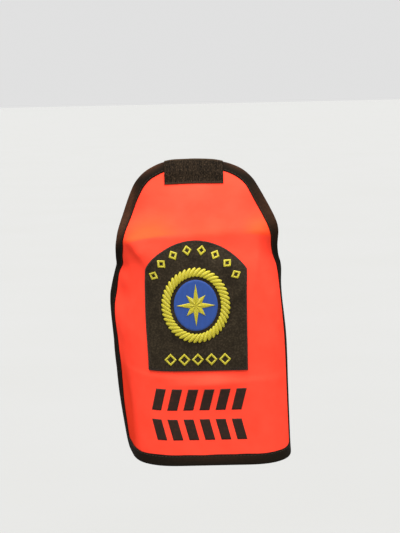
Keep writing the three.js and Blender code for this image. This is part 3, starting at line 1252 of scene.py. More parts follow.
@dataclass
class Panel:
    """The coated cloth panel."""

    columns: int = 140
    row_step: float = 1.5
    inset: float = 1.2
    # The rows stand closer near the top and the hem, where the outline turns fast
    top_rows: tuple[float, ...] = (4.0, 3.0, 2.2, 1.5, 0.9, 0.5, 0.2, 0.05)
    hem_rows: tuple[float, ...] = (0, 0.06, 0.25, 0.6, 1.1, 1.8, 2.7, 3.8)
    row_gap: float = 0.5

    def cut_area(self) -> float:
        """Area of the flat cut in square metres."""
        places, _ = half_outline(1.0)
        widths = (places[1:, 0] + places[:-1, 0]) / 2
        return 2 * float(widths @ np.diff(places[:, 1])) * MM * MM

    def build(self, finish: Material, back: Material) -> Piece:
        """Make the cloth.

        Args:
            finish: material of the outer face.
            back: material of the inner face.

        Returns:
            The piece.
        """
        places, inwards = half_outline(1.0)
        corner = OUTLINE[1]
        above_hem = places[:, 0] + places[:, 1] > corner.u - corner.radius - 0.01
        inner = (places + inwards * self.inset)[above_hem]
        crown = CUT_HEIGHT - self.inset - np.array(self.top_rows)
        foot = self.inset + np.array(self.hem_rows)
        between_them = np.arange(foot[-1] + self.row_step, crown[0] - self.row_gap, self.row_step)
        heights = np.concatenate([foot, between_them, crown])
        widths = np.interp(heights, inner[:, 1], inner[:, 0])
        spread = np.linspace(-1, 1, self.columns + 1)
        u = widths[:, None] * spread[None, :]
        v = np.broadcast_to(heights[:, None], u.shape)
        parts = MeshParts()
        # Share of painted highlight on the cloth, or of painted shade where it is below 0
        painted_light_share = np.clip(sum(FORM.ridge(row, u, v) for row in CLOTH_PAINTED_LIGHT), -1, 1)
        lay = np.stack([u, v, painted_light_share], axis=-1)
        parts.wall(FORM.place(u, v, CLOTH_HALF), FORM.place(u, v, -CLOTH_HALF), lay, back=1)
        return settle(parts.build("panel_cloth", finish, back), Slot.COATED_CLOTH, "panel")


@dataclass
class Bindings:
    """The tape folded round the sides, the top and the hem, and its stitching."""

    width: float = 9.0
    hem_rise: float = 16.0
    hem_overhang: float = 1.2
    joint: float = 0.25
    step: float = 1.5
    seam: float = 7.7
    seam_height: float = 1.28
    stitch: LaidForm = LaidForm(pitch=3.2, length=2.6, width=0.55, rise=0.4)
    # Waves in which the tape wanders off its line: reach, length over 2 pi, and start
    sways: tuple[tuple[float, float, float], ...] = ((0.18, 11.0, 0.0), (0.12, 4.3, 1.0))
    # The fold comes to its full overhang over this run, and inside this inset only
    hang_run: float = 30.0
    hang_inset: float = 4.0
    # Between stitches the tape swells
    puff: float = 0.1
    puff_inset: float = 5.0
    puff_spread: float = 2.0

    def profile(self) -> tuple[Points, Points]:
        """Cross-section of the folded tape.

        Returns:
            Outer and inner line, each as rows of inset and height.
        """
        rim, seam = self.width, self.seam
        outer = [
            (rim, 0.72), (rim - 0.15, 1.15), (rim - 0.6, 1.38), (seam + 0.4, 1.34), (seam, 1.2),
            (seam - 0.5, 1.34), (6.0, 1.5), (4.4, 1.66), (2.8, 1.82), (1.5, 1.98),
            (0.7, 2.0), (0.2, 1.7), (-0.02, 1.1), (-0.05, 0.4),
        ]
        inner = [
            (rim, 0.56), (rim - 0.15, 0.58), (rim - 0.6, 0.6), (seam + 0.4, 0.6), (seam, 0.6),
            (seam - 0.5, 0.62), (6.0, 0.68), (4.4, 0.78), (2.8, 0.92), (1.7, 1.05),
            (1.2, 1.0), (0.95, 0.8), (0.85, 0.5), (0.82, 0.2),
        ]

        def both(half: list[tuple[float, float]]) -> Points:
            """The front half and its mirror image behind the cloth."""
            return np.array(half + [(inset, -height) for inset, height in reversed(half)])

        return both(outer), both(inner)

    def edge_path(self) -> tuple[Points, Points]:
        """Stations of both sides and the top.

        Returns:
            Places from the right foot over the top to the left foot, and inward normals.
        """
        foot = self.hem_rise + self.joint
        places, inwards = half_outline(self.step)
        keep = places[:, 1] > foot + self.step / 2

        def whole(first: list[float], half: Points) -> Points:
            """The right half from its foot up, then its mirror image down to the left foot."""
            right = np.vstack([first, half[keep]])
            return np.vstack([right, (right[:-1] * MIRROR)[::-1]])

        return whole([CUT_HALF_WIDTH, foot], places), whole([-1.0, 0.0], inwards)

    def hem_path(self) -> tuple[Points, Points]:
        """Stations of the hem, round both corners and up to the edge tape's feet.

        Returns:
            Places from left to right, and inward normals.
        """
        places, inwards = half_outline(self.step)
        keep = places[:, 1] < self.hem_rise - self.step / 2

        def whole(half: Points, last: list[float]) -> Points:
            """The mirror image of the right half, then that half out to its end."""
            right = np.vstack([half[keep], last])
            return np.vstack([(right[1:] * MIRROR)[::-1], right])

        return whole(places, [CUT_HALF_WIDTH, self.hem_rise]), whole(inwards, [-1.0, 0.0])

    def tape(self, name: str, path: tuple[Points, Points], overhang: float, finish: Material) -> Piece:
        """Make one tape.

        Args:
            name: the piece's name.
            path: its stations.
            overhang: how far its fold hangs off the cloth's edge, away from its ends.
            finish: its material.

        Returns:
            The object.
        """
        at, inward = path
        run = travel(at)
        sway = sum(reach * np.sin(run / length + start) for reach, length, start in self.sways)
        pucker = 0.5 - 0.5 * np.cos(2 * np.pi * run / (2 * self.stitch.length))
        hang = overhang * ease(np.minimum(run, run[-1] - run) / self.hang_run)
        grids = []
        # The outer line comes last, because the lay attribute is taken from it
        for line, puff in zip(reversed(self.profile()), (0.0, self.puff)):
            depth, rise = line.T
            inset = depth + sway[:, None] * (np.abs(depth) / self.width)
            inset = inset - hang[:, None] * np.clip(1 - depth / self.hang_inset, 0, 1)
            bulge = np.exp(-(((depth - self.puff_inset) / self.puff_spread) ** 2))
            swell = bulge * pucker[:, None] * puff
            u = at[:, :1] + inward[:, :1] * inset
            v = at[:, 1:] + inward[:, 1:] * inset
            grids.append(FORM.place(u, v, rise + np.sign(rise) * swell))
        # Share of painted highlight on the tape
        tape_highlight = np.clip(sum(FORM.ridge(row, u, v) for row in TAPE_PAINTED_HIGHLIGHT), 0, 1)
        lay = np.stack([np.broadcast_to(run[:, None], u.shape), inset, tape_highlight], axis=-1)
        parts = MeshParts()
        parts.wall(*reversed(grids), lay)
        return parts.build(name, finish)

    def seam_lines(self, path: tuple[Points, Points], ends: int) -> list[tuple[Points, Points]]:
        """Stitch lines of one tape, in front and behind.

        Args:
            path: the tape's stations.
            ends: how many stations to leave free at each end.

        Returns:
            Points and vectors off the surface, for each line.
        """
        at, inward = path[0][ends:-ends], path[1][ends:-ends]
        u, v = (at + inward * self.seam).T
        up = FORM.normal(u, v)
        return [(FORM.place(u, v, side * self.seam_height), up * side) for side in (1, -1)]

    def build(self, finish: Material, thread: Material, tree: RepeatTree) -> list[Piece]:
        """Make the tapes and their stitching.

        Args:
            finish: the tape's material.
            thread: the stitches' material.
            tree: tree that lays the stitches.

        Returns:
            The pieces.
        """
        pieces, seams = [], []
        for name, node, path, overhang in (
            ("edge_binding_tape", "edge_binding", self.edge_path(), 0.0),
            ("hem_binding_tape", "hem_binding", self.hem_path(), self.hem_overhang),
        ):
            pieces.append(settle(self.tape(name, path, overhang, finish), Slot.BINDING_TAPE, node))
            seams += self.seam_lines(path, 2)
        stitches = tree.run("binding_stitches", seams, thread, self.stitch)
        return [*pieces, settle(stitches, Slot.BINDING_TAPE)]


@dataclass
class HookTape:
    """Strip of hook tape folded over the top edge, with its rows of hooks and its seam."""

    half_width: float = 26.5
    front_foot: float = 258.7
    back_foot: float = 239.0
    step: float = 11.0
    ramp: float = 9.5
    thickness: float = 0.7
    on_cloth: float = 0.7
    on_binding: float = 2.1
    # Stations of the ramp as shares, and of the part that lies flat on the binding
    ramp_shares: tuple[float, ...] = (0, 0.2, 0.4, 0.6, 0.8, 1.0)
    flat_rows: tuple[float, ...] = (-9.4, -7.8, -6.0, -4.2, -2.6, -1.2)
    # The fold over the edge: how far past the edge, how much more by the lift, and how far down
    nose: tuple[tuple[float, float, float], ...] = ((-0.5, 0, 0.1), (0.05, 0.45, 0.5), (0.2, 0.75, 1.15))
    tip: tuple[float, float, float] = (0.24, 0.85, 0.5)
    hook_pitch: float = 1.7
    row_pitch: float = 1.25
    hook: LaidForm = LaidForm(pitch=1.0, length=1.25, width=0.75, rise=0.75)
    # The hooks stand this far off the tape, and their places are probed this far apart
    hook_lift: float = 0.05
    probe: float = 0.3
    margin: float = 1.6
    # The hooks are worn away this far down from the top edge, and the tape this far up a foot
    worn_top: float = 1.5
    worn_foot: float = 2.0
    seam_inset: float = 0.9
    seam_lift: float = 0.12
    stitch: LaidForm = LaidForm(pitch=3.0, length=2.4, width=0.5, rise=0.4)

    def edge(self, u: Points) -> Points:
        """Height of the cut's top edge.

        Args:
            u: places across the cut.

        Returns:
            Height of the edge at each.
        """
        places, _ = half_outline(1.0)
        top = places[places[:, 1] > CUT_HEIGHT / 2][::-1]
        return np.interp(np.abs(u), top[:, 0], top[:, 1])

    def section(self, edge: float, lift: float) -> Points:
        """Cross-section from the front foot over the edge to the back foot.

        Args:
            edge: height of the cut's top edge here.
            lift: height off the tape's underside.

        Returns:
            Rows of place up the cut and height off the cloth.
        """
        low, high = self.on_cloth + lift, self.on_binding + lift
        start, end = edge - self.step - self.ramp, edge - self.step
        front = [(v, low) for v in np.linspace(self.front_foot, start, 6, endpoint=False)]
        slope = [
            (start + (end - start) * t - 0.15 * lift, low + (high - low) * float(ease(np.array(t))))
            for t in self.ramp_shares
        ]
        over = [(edge + x, high) for x in self.flat_rows]
        nose = [(edge + past + share * lift, high - down) for past, share, down in self.nose]
        past, share, height = self.tip
        half = front + slope + over + nose + [(edge + past + share * lift, height)]
        behind = [(v, -off) for v, off in reversed(half[len(front):])]
        rest = [(v, -low) for v in np.linspace(start, self.back_foot, 25)[1:]]
        return np.array(half + behind + rest)

    def base(self, finish: Material) -> Piece:
        """Make the tape itself.

        Args:
            finish: its material.

        Returns:
            The object.
        """
        across = np.linspace(self.half_width, -self.half_width, 37)
        edges = self.edge(across)
        outer, inner = (
            np.stack([self.section(float(edge), lift) for edge in edges])
            for lift in (self.thickness, 0.0)
        )
        u = np.broadcast_to(across[:, None], outer.shape[:2])
        v, height = outer[..., 0], outer[..., 1]
        from_foot = (v - np.where(height > 0, self.front_foot, self.back_foot)) / self.worn_foot
        from_top = (edges[:, None] - v) / self.worn_top
        bare = np.clip(np.maximum(2 - from_foot, 2 - from_top), 0, 2)
        parts = MeshParts()
        parts.wall(
            FORM.place(u, v, height), FORM.place(u, inner[..., 0], inner[..., 1]),
            np.stack([u, v, bare], axis=-1),
        )
        return parts.build("hook_tape_base", finish)

    def column(self, u: float, ahead: float) -> Points:
        """Places of one column of hooks.

        Args:
            u: the column's place across the cut.
            ahead: how far past each hook to go along the tape.

        Returns:
            Points in space.
        """
        edge = float(self.edge(np.array([u]))[0])
        section = self.section(edge, self.thickness)
        run = travel(section)
        rows = np.arange(self.margin, run[-1] - self.margin, self.row_pitch)
        rows = rows[np.interp(rows, run, section[:, 0]) < edge - self.worn_top]
        v, height = resample(section, run, rows + ahead).T
        return FORM.place(u, v, height)

    def field(self, finish: Material, tree: RepeatTree) -> Piece:
        """Make the rows of hooks.

        Args:
            finish: their material.
            tree: tree that sets forms on points.

        Returns:
            The object.
        """
        inner = self.half_width - self.margin
        here, there, beside = [], [], []
        for u in np.arange(-inner, inner + 0.1, self.hook_pitch):
            lines = (self.column(u, 0.0), self.column(u, self.probe), self.column(u + self.probe, 0.0))
            count = min(len(line) for line in lines)
            for store, line in zip((here, there, beside), lines):
                store.append(line[:count])
        at, ahead, side = (np.concatenate(group) for group in (here, there, beside))
        up = unit(np.cross(ahead - at, side - at))
        line = (at + up * self.hook_lift, up)
        return tree.run("hook_tape_hooks", [line], finish, self.hook, heading=ahead - at)

    def seams(self, thread: Material, tree: RepeatTree) -> Piece:
        """Make the stitch lines along both feet.

        Args:
            thread: the stitches' material.
            tree: tree that lays forms on lines.

        Returns:
            The object.
        """
        u = np.linspace(self.seam_inset - self.half_width, self.half_width - self.seam_inset, 30)
        lines = []
        for foot, side in ((self.front_foot, 1), (self.back_foot, -1)):
            v = foot + self.seam_inset
            height = side * (self.on_cloth + self.thickness + self.seam_lift)
            lines.append((FORM.place(u, v, height), FORM.normal(u, v) * side))
        return tree.run("hook_tape_stitches", lines, thread, self.stitch)

    def build(self, finish: Material, thread: Material, hooks: RepeatTree,
              sewing: RepeatTree) -> list[Piece]:
        """Make the tape, its hooks and its seam.

        Args:
            finish: material of the tape and hooks.
            thread: the stitches' material.
            hooks: tree that sets forms on points.
            sewing: tree that lays stitches on lines.

        Returns:
            The pieces.
        """
        return [
            settle(self.base(finish), Slot.HOOK_TAPE, "hook_tape"),
            settle(self.field(finish, hooks), Slot.HOOK_TAPE),
            settle(self.seams(thread, sewing), Slot.HOOK_TAPE),
        ]


@dataclass
class Badge:
    """The woven badge: its cloth, merrowed border, rope ring, field, star and stitched marks."""

    half_width: float = 44.7
    bottom: float = 88.0
    side: float = 91.4
    height: float = 117.4
    flare: float = 0.06
    # Heights over which the left side widens: up to its full width, and in again under the arch
    flare_runs: tuple[float, float, float] = (70.0, 9.0, 25.0)
    under: float = 0.6
    top: float = 1.9
    rim_drop: float = 0.4
    rim_width: float = 0.5
    rope_middle: tuple[float, float] = (-0.5, 147.8)
    rope_radii: tuple[float, float] = (26.3, 29.6)
    field_radii: tuple[float, float] = (19.5, 23.0)
    arc_middle: tuple[float, float] = (-1.0, 156.9)
    arc_radius: float = 40.3
    stroke: float = 1.8
    # The arc's and the row's open lozenges: how many, how wide and how tall
    arc_marks: tuple[int, float, float] = (8, 8.6, 9.5)
    row_marks: tuple[int, float, float] = (5, 11.0, 11.5)
    row_height: float = 98.6
    # The first and last mark: degrees round the arc, and places across for the row
    arc_ends: tuple[float, float] = (154.0, 26.0)
    row_ends: tuple[float, float] = (-24.0, 24.5)
    # The star's long tips, short tips and valleys, and how much taller it is than wide
    star_reaches: tuple[float, float, float] = (17.5, 12.0, 6.0)
    star_tall: float = 1.1
    # Heights above the badge's cloth: the rope's middle, the field's rim, its top, and the star
    rope_lift: float = 0.35
    field_rim: float = 0.15
    field_rise: float = 0.5
    star_lift: float = 0.6
    rope_twist: LaidForm = LaidForm(
        pitch=3.9, length=11.0, width=3.9, rise=2.6, swing=48, sides=14,
    )
    border_thread: LaidForm = LaidForm(pitch=0.95, length=2.1, width=0.85, rise=1.0, swing=70)
    stitch: LaidForm = LaidForm(pitch=2.6, length=2.0, width=0.5, rise=0.35)

    def arch(self) -> tuple[float, float, float]:
        """Shape of the arched top.

        Returns:
            Radius, centre height and start angle.
        """
        rise = self.height - self.side
        radius = (self.half_width ** 2 + rise ** 2) / (2 * rise)
        return radius, self.bottom + self.height - radius, math.acos(self.half_width / radius)

    def half_span(self, v: Points) -> Points:
        """Half width of the badge.

        Args:
            v: heights of the cut.

        Returns:
            The half width at each.
        """
        radius, centre, _ = self.arch()
        round_part = np.sqrt(np.maximum(radius ** 2 - (v - centre) ** 2, 0))
        return np.where(v < self.bottom + self.side, self.half_width, round_part)

    def stretched(self, u: Points, v: Points) -> Points:
        """Widen the left side below the arch, where the cloth pulls the badge.

        Args:
            u: places across the cut.
            v: places up the cut.

        Returns:
            The widened places across.
        """
        rise, past, fall = self.flare_runs
        share = ease((v - self.bottom) / rise) * ease((self.bottom + self.side + past - v) / fall)
        return np.where(u < 0, u * (1 + self.flare * share), u)

    def outline(self, inset: float, spacing: float = 1.2) -> Points:
        """Closed outline of the badge, anticlockwise from its lower right corner.

        Args:
            inset: distance inside the badge's edge.
            spacing: distance between points.

        Returns:
            Places of the cut.
        """
        radius, centre, _ = self.arch()
        radius -= inset
        half = self.half_width - inset
        low = self.bottom + inset
        start = math.acos(half / radius)
        spring = centre + radius * math.sin(start)
        rise = np.linspace(low, spring, round((spring - low) / spacing), endpoint=False)
        steps = round((math.pi - 2 * start) * radius / spacing)
        angles = np.linspace(start, math.pi - start, steps, endpoint=False)
        base = np.linspace(-half, half, round(2 * half / spacing), endpoint=False)
        ring = np.concatenate([
            np.stack([np.full(len(rise), half), rise], axis=1),
            np.stack([radius * np.cos(angles), centre + radius * np.sin(angles)], axis=1),
            np.stack([np.full(len(rise), -half), np.append(spring, rise[:0:-1])], axis=1),
            np.stack([base, np.full(len(base), low)], axis=1),
        ])
        return np.stack([self.stretched(*ring.T), ring[:, 1]], axis=1)

    def cloth(self, finish: Material) -> Piece:
        """Make the badge's cloth.

        Args:
            finish: its material.

        Returns:
            The object.
        """
        radius, centre, start = self.arch()
        # The last row stops just short of the arch's crown, where a row would have no width
        heights = np.concatenate([
            np.linspace(self.bottom, self.bottom + self.side, 46, endpoint=False),
            centre + radius * np.sin(np.linspace(start, math.radians(88.5), 28)),
        ])
        spread = np.concatenate([[-1, -0.997, -0.99], np.linspace(-0.975, 0.975, 53), [0.99, 0.997, 1]])
        u = self.half_span(heights)[:, None] * spread[None, :]
        v = np.broadcast_to(heights[:, None], u.shape)
        border = np.minimum(self.half_span(heights)[:, None] - np.abs(u), v - self.bottom)
        height = self.top - self.rim_drop * (1 - ease(border / self.rim_width))
        u = self.stretched(u, v)
        lay = np.stack([u, v, height], axis=-1)
        parts = MeshParts()
        parts.wall(FORM.place(u, v, height), FORM.place(u, v, self.under), lay)
        return parts.build("badge_woven_cloth", finish)

    def oval(self, radii: tuple[float, float], angles: Points) -> Points:
        """Places of the cut on an oval round the emblem's middle."""
        arms = np.stack([np.cos(angles), np.sin(angles)], axis=1)
        return np.array(self.rope_middle) + np.array(radii) * arms

    def rope(self, finish: Material, tree: RepeatTree) -> Piece:
        """Make the ring of twisted rope round the field.

        Args:
            finish: the thread's material.
            tree: tree that lays forms on lines.

        Returns:
            The object.
        """
        u, v = self.oval(self.rope_radii, np.linspace(0, 2 * np.pi, 181)).T
        line = (FORM.place(u, v, self.top + self.rope_lift), FORM.normal(u, v))
        return tree.run("emblem_rope_ring", [line], finish, self.rope_twist)

    def field_piece(self, finish: Material) -> Piece:
        """Make the oval field inside the ring.

        Args:
            finish: the thread's material.

        Returns:
            The object.
        """
        oval = self.oval(self.field_radii, np.linspace(0, 2 * np.pi, 96, endpoint=False))

        def crown(places: Points, scale: float) -> Points:
            """Low dome with a rounded edge."""
            rise = self.field_rise * float(ease((1 - scale) / 0.06))
            return np.full(len(places), self.top + self.field_rim + rise)

        def upright(places: Points) -> Points:
            """Threads that run straight up the field."""
            return np.pad(places, ((0, 0), (0, 1)))

        parts = MeshParts()
        scales = np.concatenate([[1, 0.99, 0.975, 0.955, 0.93], np.linspace(0.88, 0, 12)])
        parts.mound(oval, crown, scales, self.top - 0.1, upright)
        return parts.build("emblem_field", finish)

    def star(self, finish: Material) -> Piece:
        """Make the eight-pointed star on the field.

        Args:
            finish: the thread's material.

        Returns:
            The object.
        """
        long_tip, short_tip, valley = self.star_reaches
        middle, wedge = np.array(self.rope_middle), math.pi / 8
        corners = []
        for k in range(16):
            reach = valley if k % 2 else (long_tip if k % 4 == 0 else short_tip)
            angle = math.pi / 2 + k * wedge
            corners.append(np.array([reach * math.cos(angle), reach * math.sin(angle) * self.star_tall]))
        outline = middle + np.concatenate([
            np.linspace(corners[k], corners[(k + 1) % 16], 8, endpoint=False) for k in range(16)
        ])
        low = self.top + self.star_lift
        # Heights of a groove, of a crest over a groove, and of the step down to the rounded rim
        groove, crest, rim = 0.35, 0.75, 0.5
        # The crests would reach the grooves this far from the middle
        fall = 22.0

        def polar(places: Points) -> tuple[Points, Points]:
            """Read places round the star.

            Args:
                places: places of the cut.

            Returns:
                Distance from the middle, and share of the way from a tip to a valley.
            """
            arm = places - middle
            angle = np.arctan2(arm[:, 1] / self.star_tall, arm[:, 0]) - math.pi / 2
            off = np.abs((angle + wedge) % (2 * wedge) - wedge) / wedge
            return np.hypot(arm[:, 0], arm[:, 1]), off

        def facets(places: Points, scale: float) -> Points:
            """A crest from the middle to each tip, and a groove to each valley.

            Args:
                places: places of the cut.
                scale: scale of their ring.

            Returns:
                Their heights.
            """
            reach, off = polar(places)
            ridge = crest * (1 - off) * np.clip(1 - reach / fall, 0.25, 1) * min(1.0, reach.max() / 3)
            return low + groove + ridge - rim * float(ease((scale - 0.9) / 0.1))

        def chevrons(places: Points) -> Points:
            """Threads that run off each crest at a slant.

            Args:
                places: places of the cut.

            Returns:
                The lay attribute.
            """
            reach, off = polar(places)
            turn = off * wedge
            along = reach * np.cos(turn) + 1.1 * reach * np.sin(turn)
            return np.stack([along, off * 5, off * 0], axis=1)

        parts = MeshParts()
        scales = np.concatenate([[1, 0.96, 0.92], np.linspace(0.85, 0, 12)])
        parts.mound(outline, facets, scales, low, chevrons)
        return parts.build("emblem_star", finish)

    def lozenges(self, name: str, spots: list[tuple[float, float, float]], wide: float, tall: float,
                 finish: Material) -> Piece:
        """Make a row of open lozenges in satin stitch.

        Args:
            name: the piece's name.
            spots: middle and turn in radians of each.
            wide: width from tip to tip.
            tall: height from tip to tip.
            finish: the thread's material.

        Returns:
            The object.
        """
        parts = MeshParts()
        corners = np.array([(wide / 2, 0), (0, tall / 2), (-wide / 2, 0), (0, -tall / 2)])
        side = math.hypot(wide / 2, tall / 2)
        shrink = 1 - self.stroke * side / (wide * tall / 4)
        ring = np.concatenate([
            np.linspace(corners[k], corners[(k + 1) % 4], 7, endpoint=False) for k in range(4)
        ])
        # Rounded section of one stroke: share of its width, and height off the badge
        section = [
            (0.0, -0.05), (0.03, 0.3), (0.15, 0.52), (0.35, 0.66), (0.5, 0.7),
            (0.65, 0.66), (0.85, 0.52), (0.97, 0.3), (1.0, -0.05),
        ]
        run = np.linspace(0, 4 * side, len(ring), endpoint=False)
        lay = np.zeros((len(ring), len(section), 3))
        lay[..., 0] = run[:, None]
        for u0, v0, turn in spots:
            spin = np.array([[math.cos(turn), -math.sin(turn)], [math.sin(turn), math.cos(turn)]])
            places = np.stack([
                ring * (shrink + (1 - shrink) * share) @ spin.T + np.array([u0, v0])
                for share, _ in section
            ], axis=1)
            u, v = places[..., 0], places[..., 1]
            rises = np.array([rise for _, rise in section])
            parts.wall(
                FORM.place(u, v, self.top + rises), FORM.place(u, v, self.top - 0.15), lay, loop=True,
            )
        return parts.build(name, finish)

    def build(self, cloth: Material, yellow: Material, blue: Material,
              edging: Material, tree: RepeatTree) -> list[Piece]:
        """Make the badge.

        Args:
            cloth: the ground's material.
            yellow: material of the yellow thread.
            blue: material of the blue thread.
            edging: material of the border's thread.
            tree: tree that lays forms on lines.

        Returns:
            The pieces.
        """
        pieces = [settle(self.cloth(cloth), Slot.BADGE_CLOTH, "badge")]
        for name, inset, sink, form in (
            ("badge_merrowed_border", 0.75, 0.25, self.border_thread),
            ("badge_stitches", 2.6, 0.0, self.stitch),
        ):
            ring = self.outline(inset)
            u, v = np.vstack([ring, ring[:1]]).T
            line = (FORM.place(u, v, self.top - sink), FORM.normal(u, v))
            pieces.append(settle(tree.run(name, [line], edging, form), Slot.BADGE_CLOTH))
        pieces.append(settle(self.rope(yellow, tree), Slot.YELLOW_THREAD, "badge_emblem"))
        pieces.append(settle(self.field_piece(blue), Slot.BLUE_THREAD))
        pieces.append(settle(self.star(yellow), Slot.YELLOW_THREAD))
        count, *size = self.arc_marks
        (u0, v0), radius = self.arc_middle, self.arc_radius
        arc = [
            (u0 + radius * math.cos(t), v0 + radius * math.sin(t), float(t) - math.pi / 2)
            for t in np.radians(np.linspace(*self.arc_ends, count))
        ]
        pieces.append(settle(self.lozenges("badge_arc_marks", arc, *size, yellow), Slot.YELLOW_THREAD))
        count, *size = self.row_marks
        row = [(u, self.row_height, 0.0) for u in np.linspace(*self.row_ends, count)]
        pieces.append(settle(self.lozenges("badge_lower_marks", row, *size, yellow), Slot.YELLOW_THREAD))
        return pieces


@dataclass
class PrintedBars:
    """Two rows of slanted bars printed under the badge."""

    left: float = -43.0
    right: float = 43.5
    bars: int = 6
    share: float = 0.62
    slant: float = 5.0
    film: float = 0.12
    # The film starts this far off the cloth, and its underside is sunk into it
    lift: float = 0.02
    sunk: float = 0.1
    # Each row: its name, its lower and upper edge, and which way its bars lean
    rows: tuple[tuple[str, float, float, int], ...] = (
        ("print_upper", 51.1, 71.4, 1),
        ("print_lower", 23.0, 42.6, -1),
    )

    def build(self, finish: Material) -> list[Piece]:
        """Make both rows.

        Args:
            finish: the ink.

        Returns:
            The pieces.
        """
        pieces = []
        for name, low, high, lean in self.rows:
            parts = MeshParts()
            pitch = (self.right - self.left - self.slant) / (self.bars - 1 + self.share)
            for k in range(self.bars):
                start = self.left + k * pitch
                s, t = np.meshgrid(np.linspace(0, pitch * self.share, 9), np.linspace(0, 1, 15))
                u = start + s + self.slant * (t if lean > 0 else 1 - t)
                v = low + (high - low) * t
                lay = np.stack([u, v, u * 0], axis=-1)
                base = CLOTH_HALF + self.lift
                parts.wall(FORM.place(u, v, base + self.film), FORM.place(u, v, base - self.sunk), lay)
            pieces.append(settle(parts.build(name, finish), Slot.PRINT_INK))
        return pieces


@dataclass
class BackStrap:
    """Elastic strap that closes the band behind the arm, with its two sewn laps."""

    bottom: float = 60.0
    top: float = 100.0
    lap: float = 14.0
    reach: float = 98.0
    depth: float = 3.15
    thickness: float = 1.5
    step: float = 0.6
    rim: float = 0.75
    rib: float = 0.06
    rib_pitch: float = 2.4
    # Box stitching: how far it stays off the lap's ends in steps, and off its sides as a share
    box_ends: int = 3
    box_sides: float = 0.08
    seam_lift: float = 0.06
    stitch: LaidForm = LaidForm(pitch=2.6, length=2.1, width=0.5, rise=0.45)

    def line(self, v: float) -> Points:
        """Middle line of the strap at one height of the cut, from the right lap to the left.

        Args:
            v: height of the cut.

        Returns:
            Evenly spaced points in space.
        """
        def on_edge(side: int, inset: float) -> Points:
            """A point inside a side edge."""
            return FORM.place(np.array([side * (CUT_HALF_WIDTH - inset)]), np.array([v]), -self.depth)[0]

        insets = np.linspace(self.lap, 0, 8, endpoint=False)
        laps, ends = [], []
        for side in (1, -1):
            at, before = on_edge(side, 0), on_edge(side, 1)
            ahead = (at - before) / np.linalg.norm(at - before)
            laps.append(np.array([on_edge(side, inset) for inset in insets]))
            ends.append((at, at + ahead * self.reach))
        t = np.linspace(0, 1, 400)[:, None]
        curve = (
            (1 - t) ** 3 * ends[0][0] + 3 * (1 - t) ** 2 * t * ends[0][1]
            + 3 * (1 - t) * t ** 2 * ends[1][1] + t ** 3 * ends[1][0]
        )
        path = np.concatenate([laps[0], curve, laps[1][::-1]])
        run = travel(path)
        return resample(path, run, np.linspace(0, run[-1], round(run[-1] / self.step) + 1))

    def lap_seams(self, grid: Points, normal: Points, share: Points) -> list[tuple[Points, Points]]:
        """Stitch lines of a box and its cross on both laps, on both faces.

        Args:
            grid: the strap's middle surface, stations by places across.
            normal: unit vectors off it.
            share: place of each column across the strap, from 0 to 1.

        Returns:
            Points and vectors off the surface, for each line.
        """
        seams = []
        foot = len(grid) - 1
        first, last = self.box_ends, round(self.lap / self.step) - self.box_ends
        low, high = self.box_sides, 1 - self.box_sides
        corners = ((0, low), (1, low), (1, high), (0, high))
        columns = np.arange(len(share))
        for begin, end in ((first, last), (foot - first, foot - last)):
            for a, b in ((0, 1), (1, 2), (2, 3), (3, 0), (0, 2), (3, 1)):
                (x0, y0), (x1, y1) = corners[a], corners[b]
                places = [
                    (begin + (end - begin) * (x0 + (x1 - x0) * t),
                     float(np.interp(y0 + (y1 - y0) * t, share, columns)))
                    for t in np.linspace(0, 1, 14)
                ]
                at = np.array([between(grid, *place) for place in places])
                up = np.array([between(normal, *place) for place in places])
                for face in (1, -1):
                    seams.append((at + up * face * (self.thickness / 2 + self.seam_lift), up * face))
        return seams

    def build(self, finish: Material, thread: Material, tree: RepeatTree) -> list[Piece]:
        """Make the strap and the box stitching of its laps.

        Args:
            finish: the webbing's material.
            thread: the stitches' material.
            tree: tree that lays stitches.

        Returns:
            The pieces.
        """
        lines = [self.line(v) for v in (self.top, (self.top + self.bottom) / 2, self.bottom)]
        count = min(len(line) for line in lines)
        marks = np.linspace(0, 1, count)
        lines = [resample(line, np.linspace(0, 1, len(line)), marks) for line in lines]
        s = np.array([0, 0.004, 0.02, 0.05, *np.linspace(0.09, 0.91, 17), 0.95, 0.98, 0.996, 1.0])
        # The three lines are joined across by a parabola
        weights = np.stack([(1 - s) * (1 - 2 * s), 4 * s * (1 - s), s * (2 * s - 1)])
        grid = np.einsum("kc,krx->rcx", weights, np.stack(lines))
        normal = unit(np.cross(np.gradient(grid, axis=0), -np.gradient(grid, axis=1)))
        width = self.top - self.bottom
        run = marks * float(np.linalg.norm(np.diff(lines[1], axis=0), axis=1).sum())
        edge = np.minimum(s, 1 - s) * width
        rounding = np.sqrt(np.clip(1 - (1 - np.clip(edge / self.rim, 0, 1)) ** 2, 0.05, 1))
        rib = self.rib * np.cos(2 * np.pi * run / self.rib_pitch)[:, None]
        half = self.thickness / 2 * rounding[None, :] + rib * (rounding[None, :] > 0.9)
        lay = np.zeros(grid.shape)
        lay[..., 0] = run[:, None]
        lay[..., 1] = s * width
        parts = MeshParts()
        parts.wall(grid + normal * half[..., None], grid - normal * half[..., None], lay)
        strap = settle(parts.build("back_strap_elastic", finish), Slot.ELASTIC, "back_strap")
        seams = self.lap_seams(grid, normal, s)
        return [strap, settle(tree.run("back_strap_stitches", seams, thread, self.stitch), Slot.ELASTIC)]


